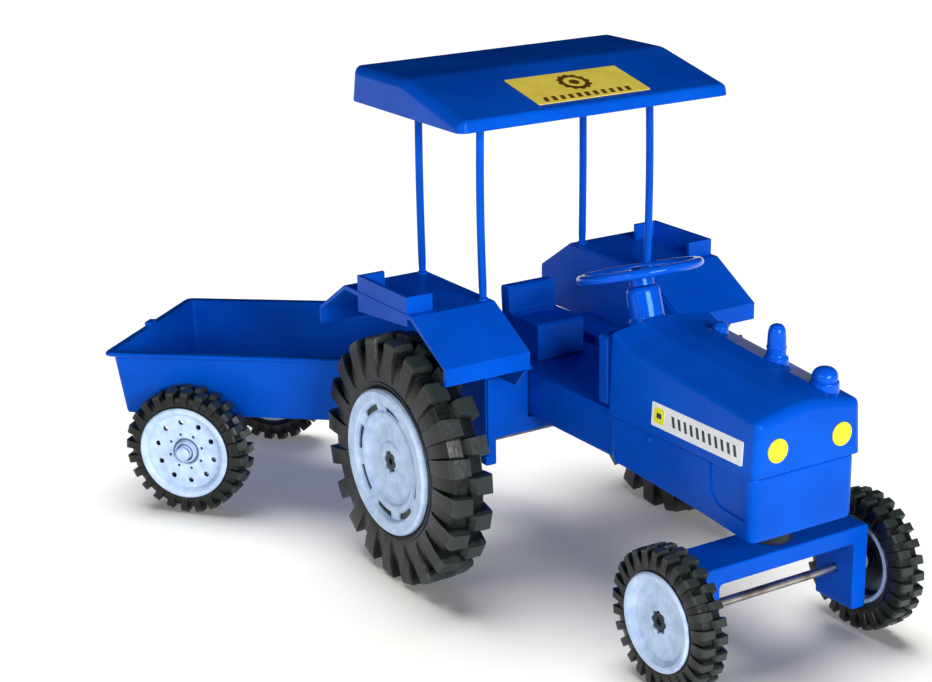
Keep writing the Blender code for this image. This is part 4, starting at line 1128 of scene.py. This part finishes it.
def sun_light(name, strength, only, angle=0.526, tilt=(0.0, 0.0), shadow=True):
    """A sun on one group; its angular size and tilt are in degrees."""
    data = bpy.data.lights.new(name, "SUN")
    data.energy = strength
    data.angle = math.radians(angle)
    data.use_shadow = shadow
    ob = bpy.data.objects.new(name, data)
    ob.rotation_euler = (math.radians(tilt[0]), math.radians(tilt[1]), 0.0)
    bpy.context.scene.collection.objects.link(ob)
    ob.light_linking.receiver_collection = only


def make_stage():
    """A pale floor and soft studio light; floor and toy are lit apart."""
    floor = make_floor()
    floor_only = bpy.data.collections.new("floor_light_group")
    floor_only.objects.link(floor)
    toy_only = bpy.data.collections.new("toy_light_group")
    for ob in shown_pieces():
        toy_only.objects.link(ob)
    sun_light("floor_sun", 3.3, floor_only, 46.0, (-13.0, 3.0))
    sun_light("floor_glow", 0.58, floor_only, shadow=False)
    area_light("front_key", (-0.1, -1.7, 0.62), (0.0, -0.05, 0.1), (0.9, 0.6), 32.0, only=toy_only)
    area_light("side_fill", (-1.7, -0.2, 0.7), (0.0, 0.0, 0.1), (0.8, 0.8), 6.0, only=toy_only)
    area_light("far_side_fill", (1.7, 0.9, 0.35), (0.0, 0.0, 0.1), (0.7, 0.5), 3.0, toy_only, False)
    area_light("sparkle", (-1.6, -0.92, 0.8), (0.0, 0.0, 0.12), (0.14, 0.14), 4.0, only=toy_only)
    world = bpy.data.worlds.new("studio")
    world.use_nodes = True
    world.node_tree.nodes["Background"].inputs["Color"].default_value = (1.0, 1.0, 1.0, 1.0)
    world.node_tree.nodes["Background"].inputs["Strength"].default_value = 0.07
    world.cycles_visibility.glossy = False
    bpy.context.scene.world = world
    view = bpy.context.scene.view_settings
    view.view_transform = "Standard"
    view.look = "None"


CAMERA_AZIMUTH = math.radians(-32.0)
CAMERA_ELEVATION = math.radians(18.02)
CAMERA_ROLL = math.radians(-0.95)
CAMERA_DISTANCE = 1.0532
CAMERA_LENS = 77.25


def make_camera():
    """The photograph's viewing angle, aimed at a point above the tractor's rear half."""
    az, el = CAMERA_AZIMUTH, CAMERA_ELEVATION
    back = Vector((math.sin(az) * math.cos(el), -math.cos(az) * math.cos(el), math.sin(el)))
    target = TRACTOR @ Vector((0.0, 0.0846, 0.0792))
    right = (-back).cross(Vector((0, 0, 1))).normalized()
    up = right.cross(-back)
    c, s = math.cos(CAMERA_ROLL), math.sin(CAMERA_ROLL)
    right, up = right * c + up * s, up * c - right * s
    data = bpy.data.cameras.new("camera")
    data.lens = CAMERA_LENS
    data.sensor_width = 36.0
    data.clip_start, data.clip_end = 0.05, 30.0
    ob = bpy.data.objects.new("camera", data)
    bpy.context.scene.collection.objects.link(ob)
    at = target + back * CAMERA_DISTANCE
    turn = Matrix((right, up, back)).transposed().to_4x4()
    ob.matrix_world = Matrix.Translation(at) @ turn
    bpy.context.scene.camera = ob


make_camera()
make_body()
make_bonnet()
make_bonnet_fittings()
make_headlights()
make_side_labels()
make_dash()
make_steering()
make_seat()
for word, side in SIDES:
    make_fender(word, side)
make_posts()
make_canopy()
make_roof_label()
for word, side in SIDES:
    make_rear_wheel(word, side)
    make_front_wheel(word, side)
    make_trailer_wheel(word, side)
make_front_axle()
make_rear_axle()
make_hitch()
make_tub()
make_floor_ribs()
make_tongue()
make_trailer_axle()
make_stage()
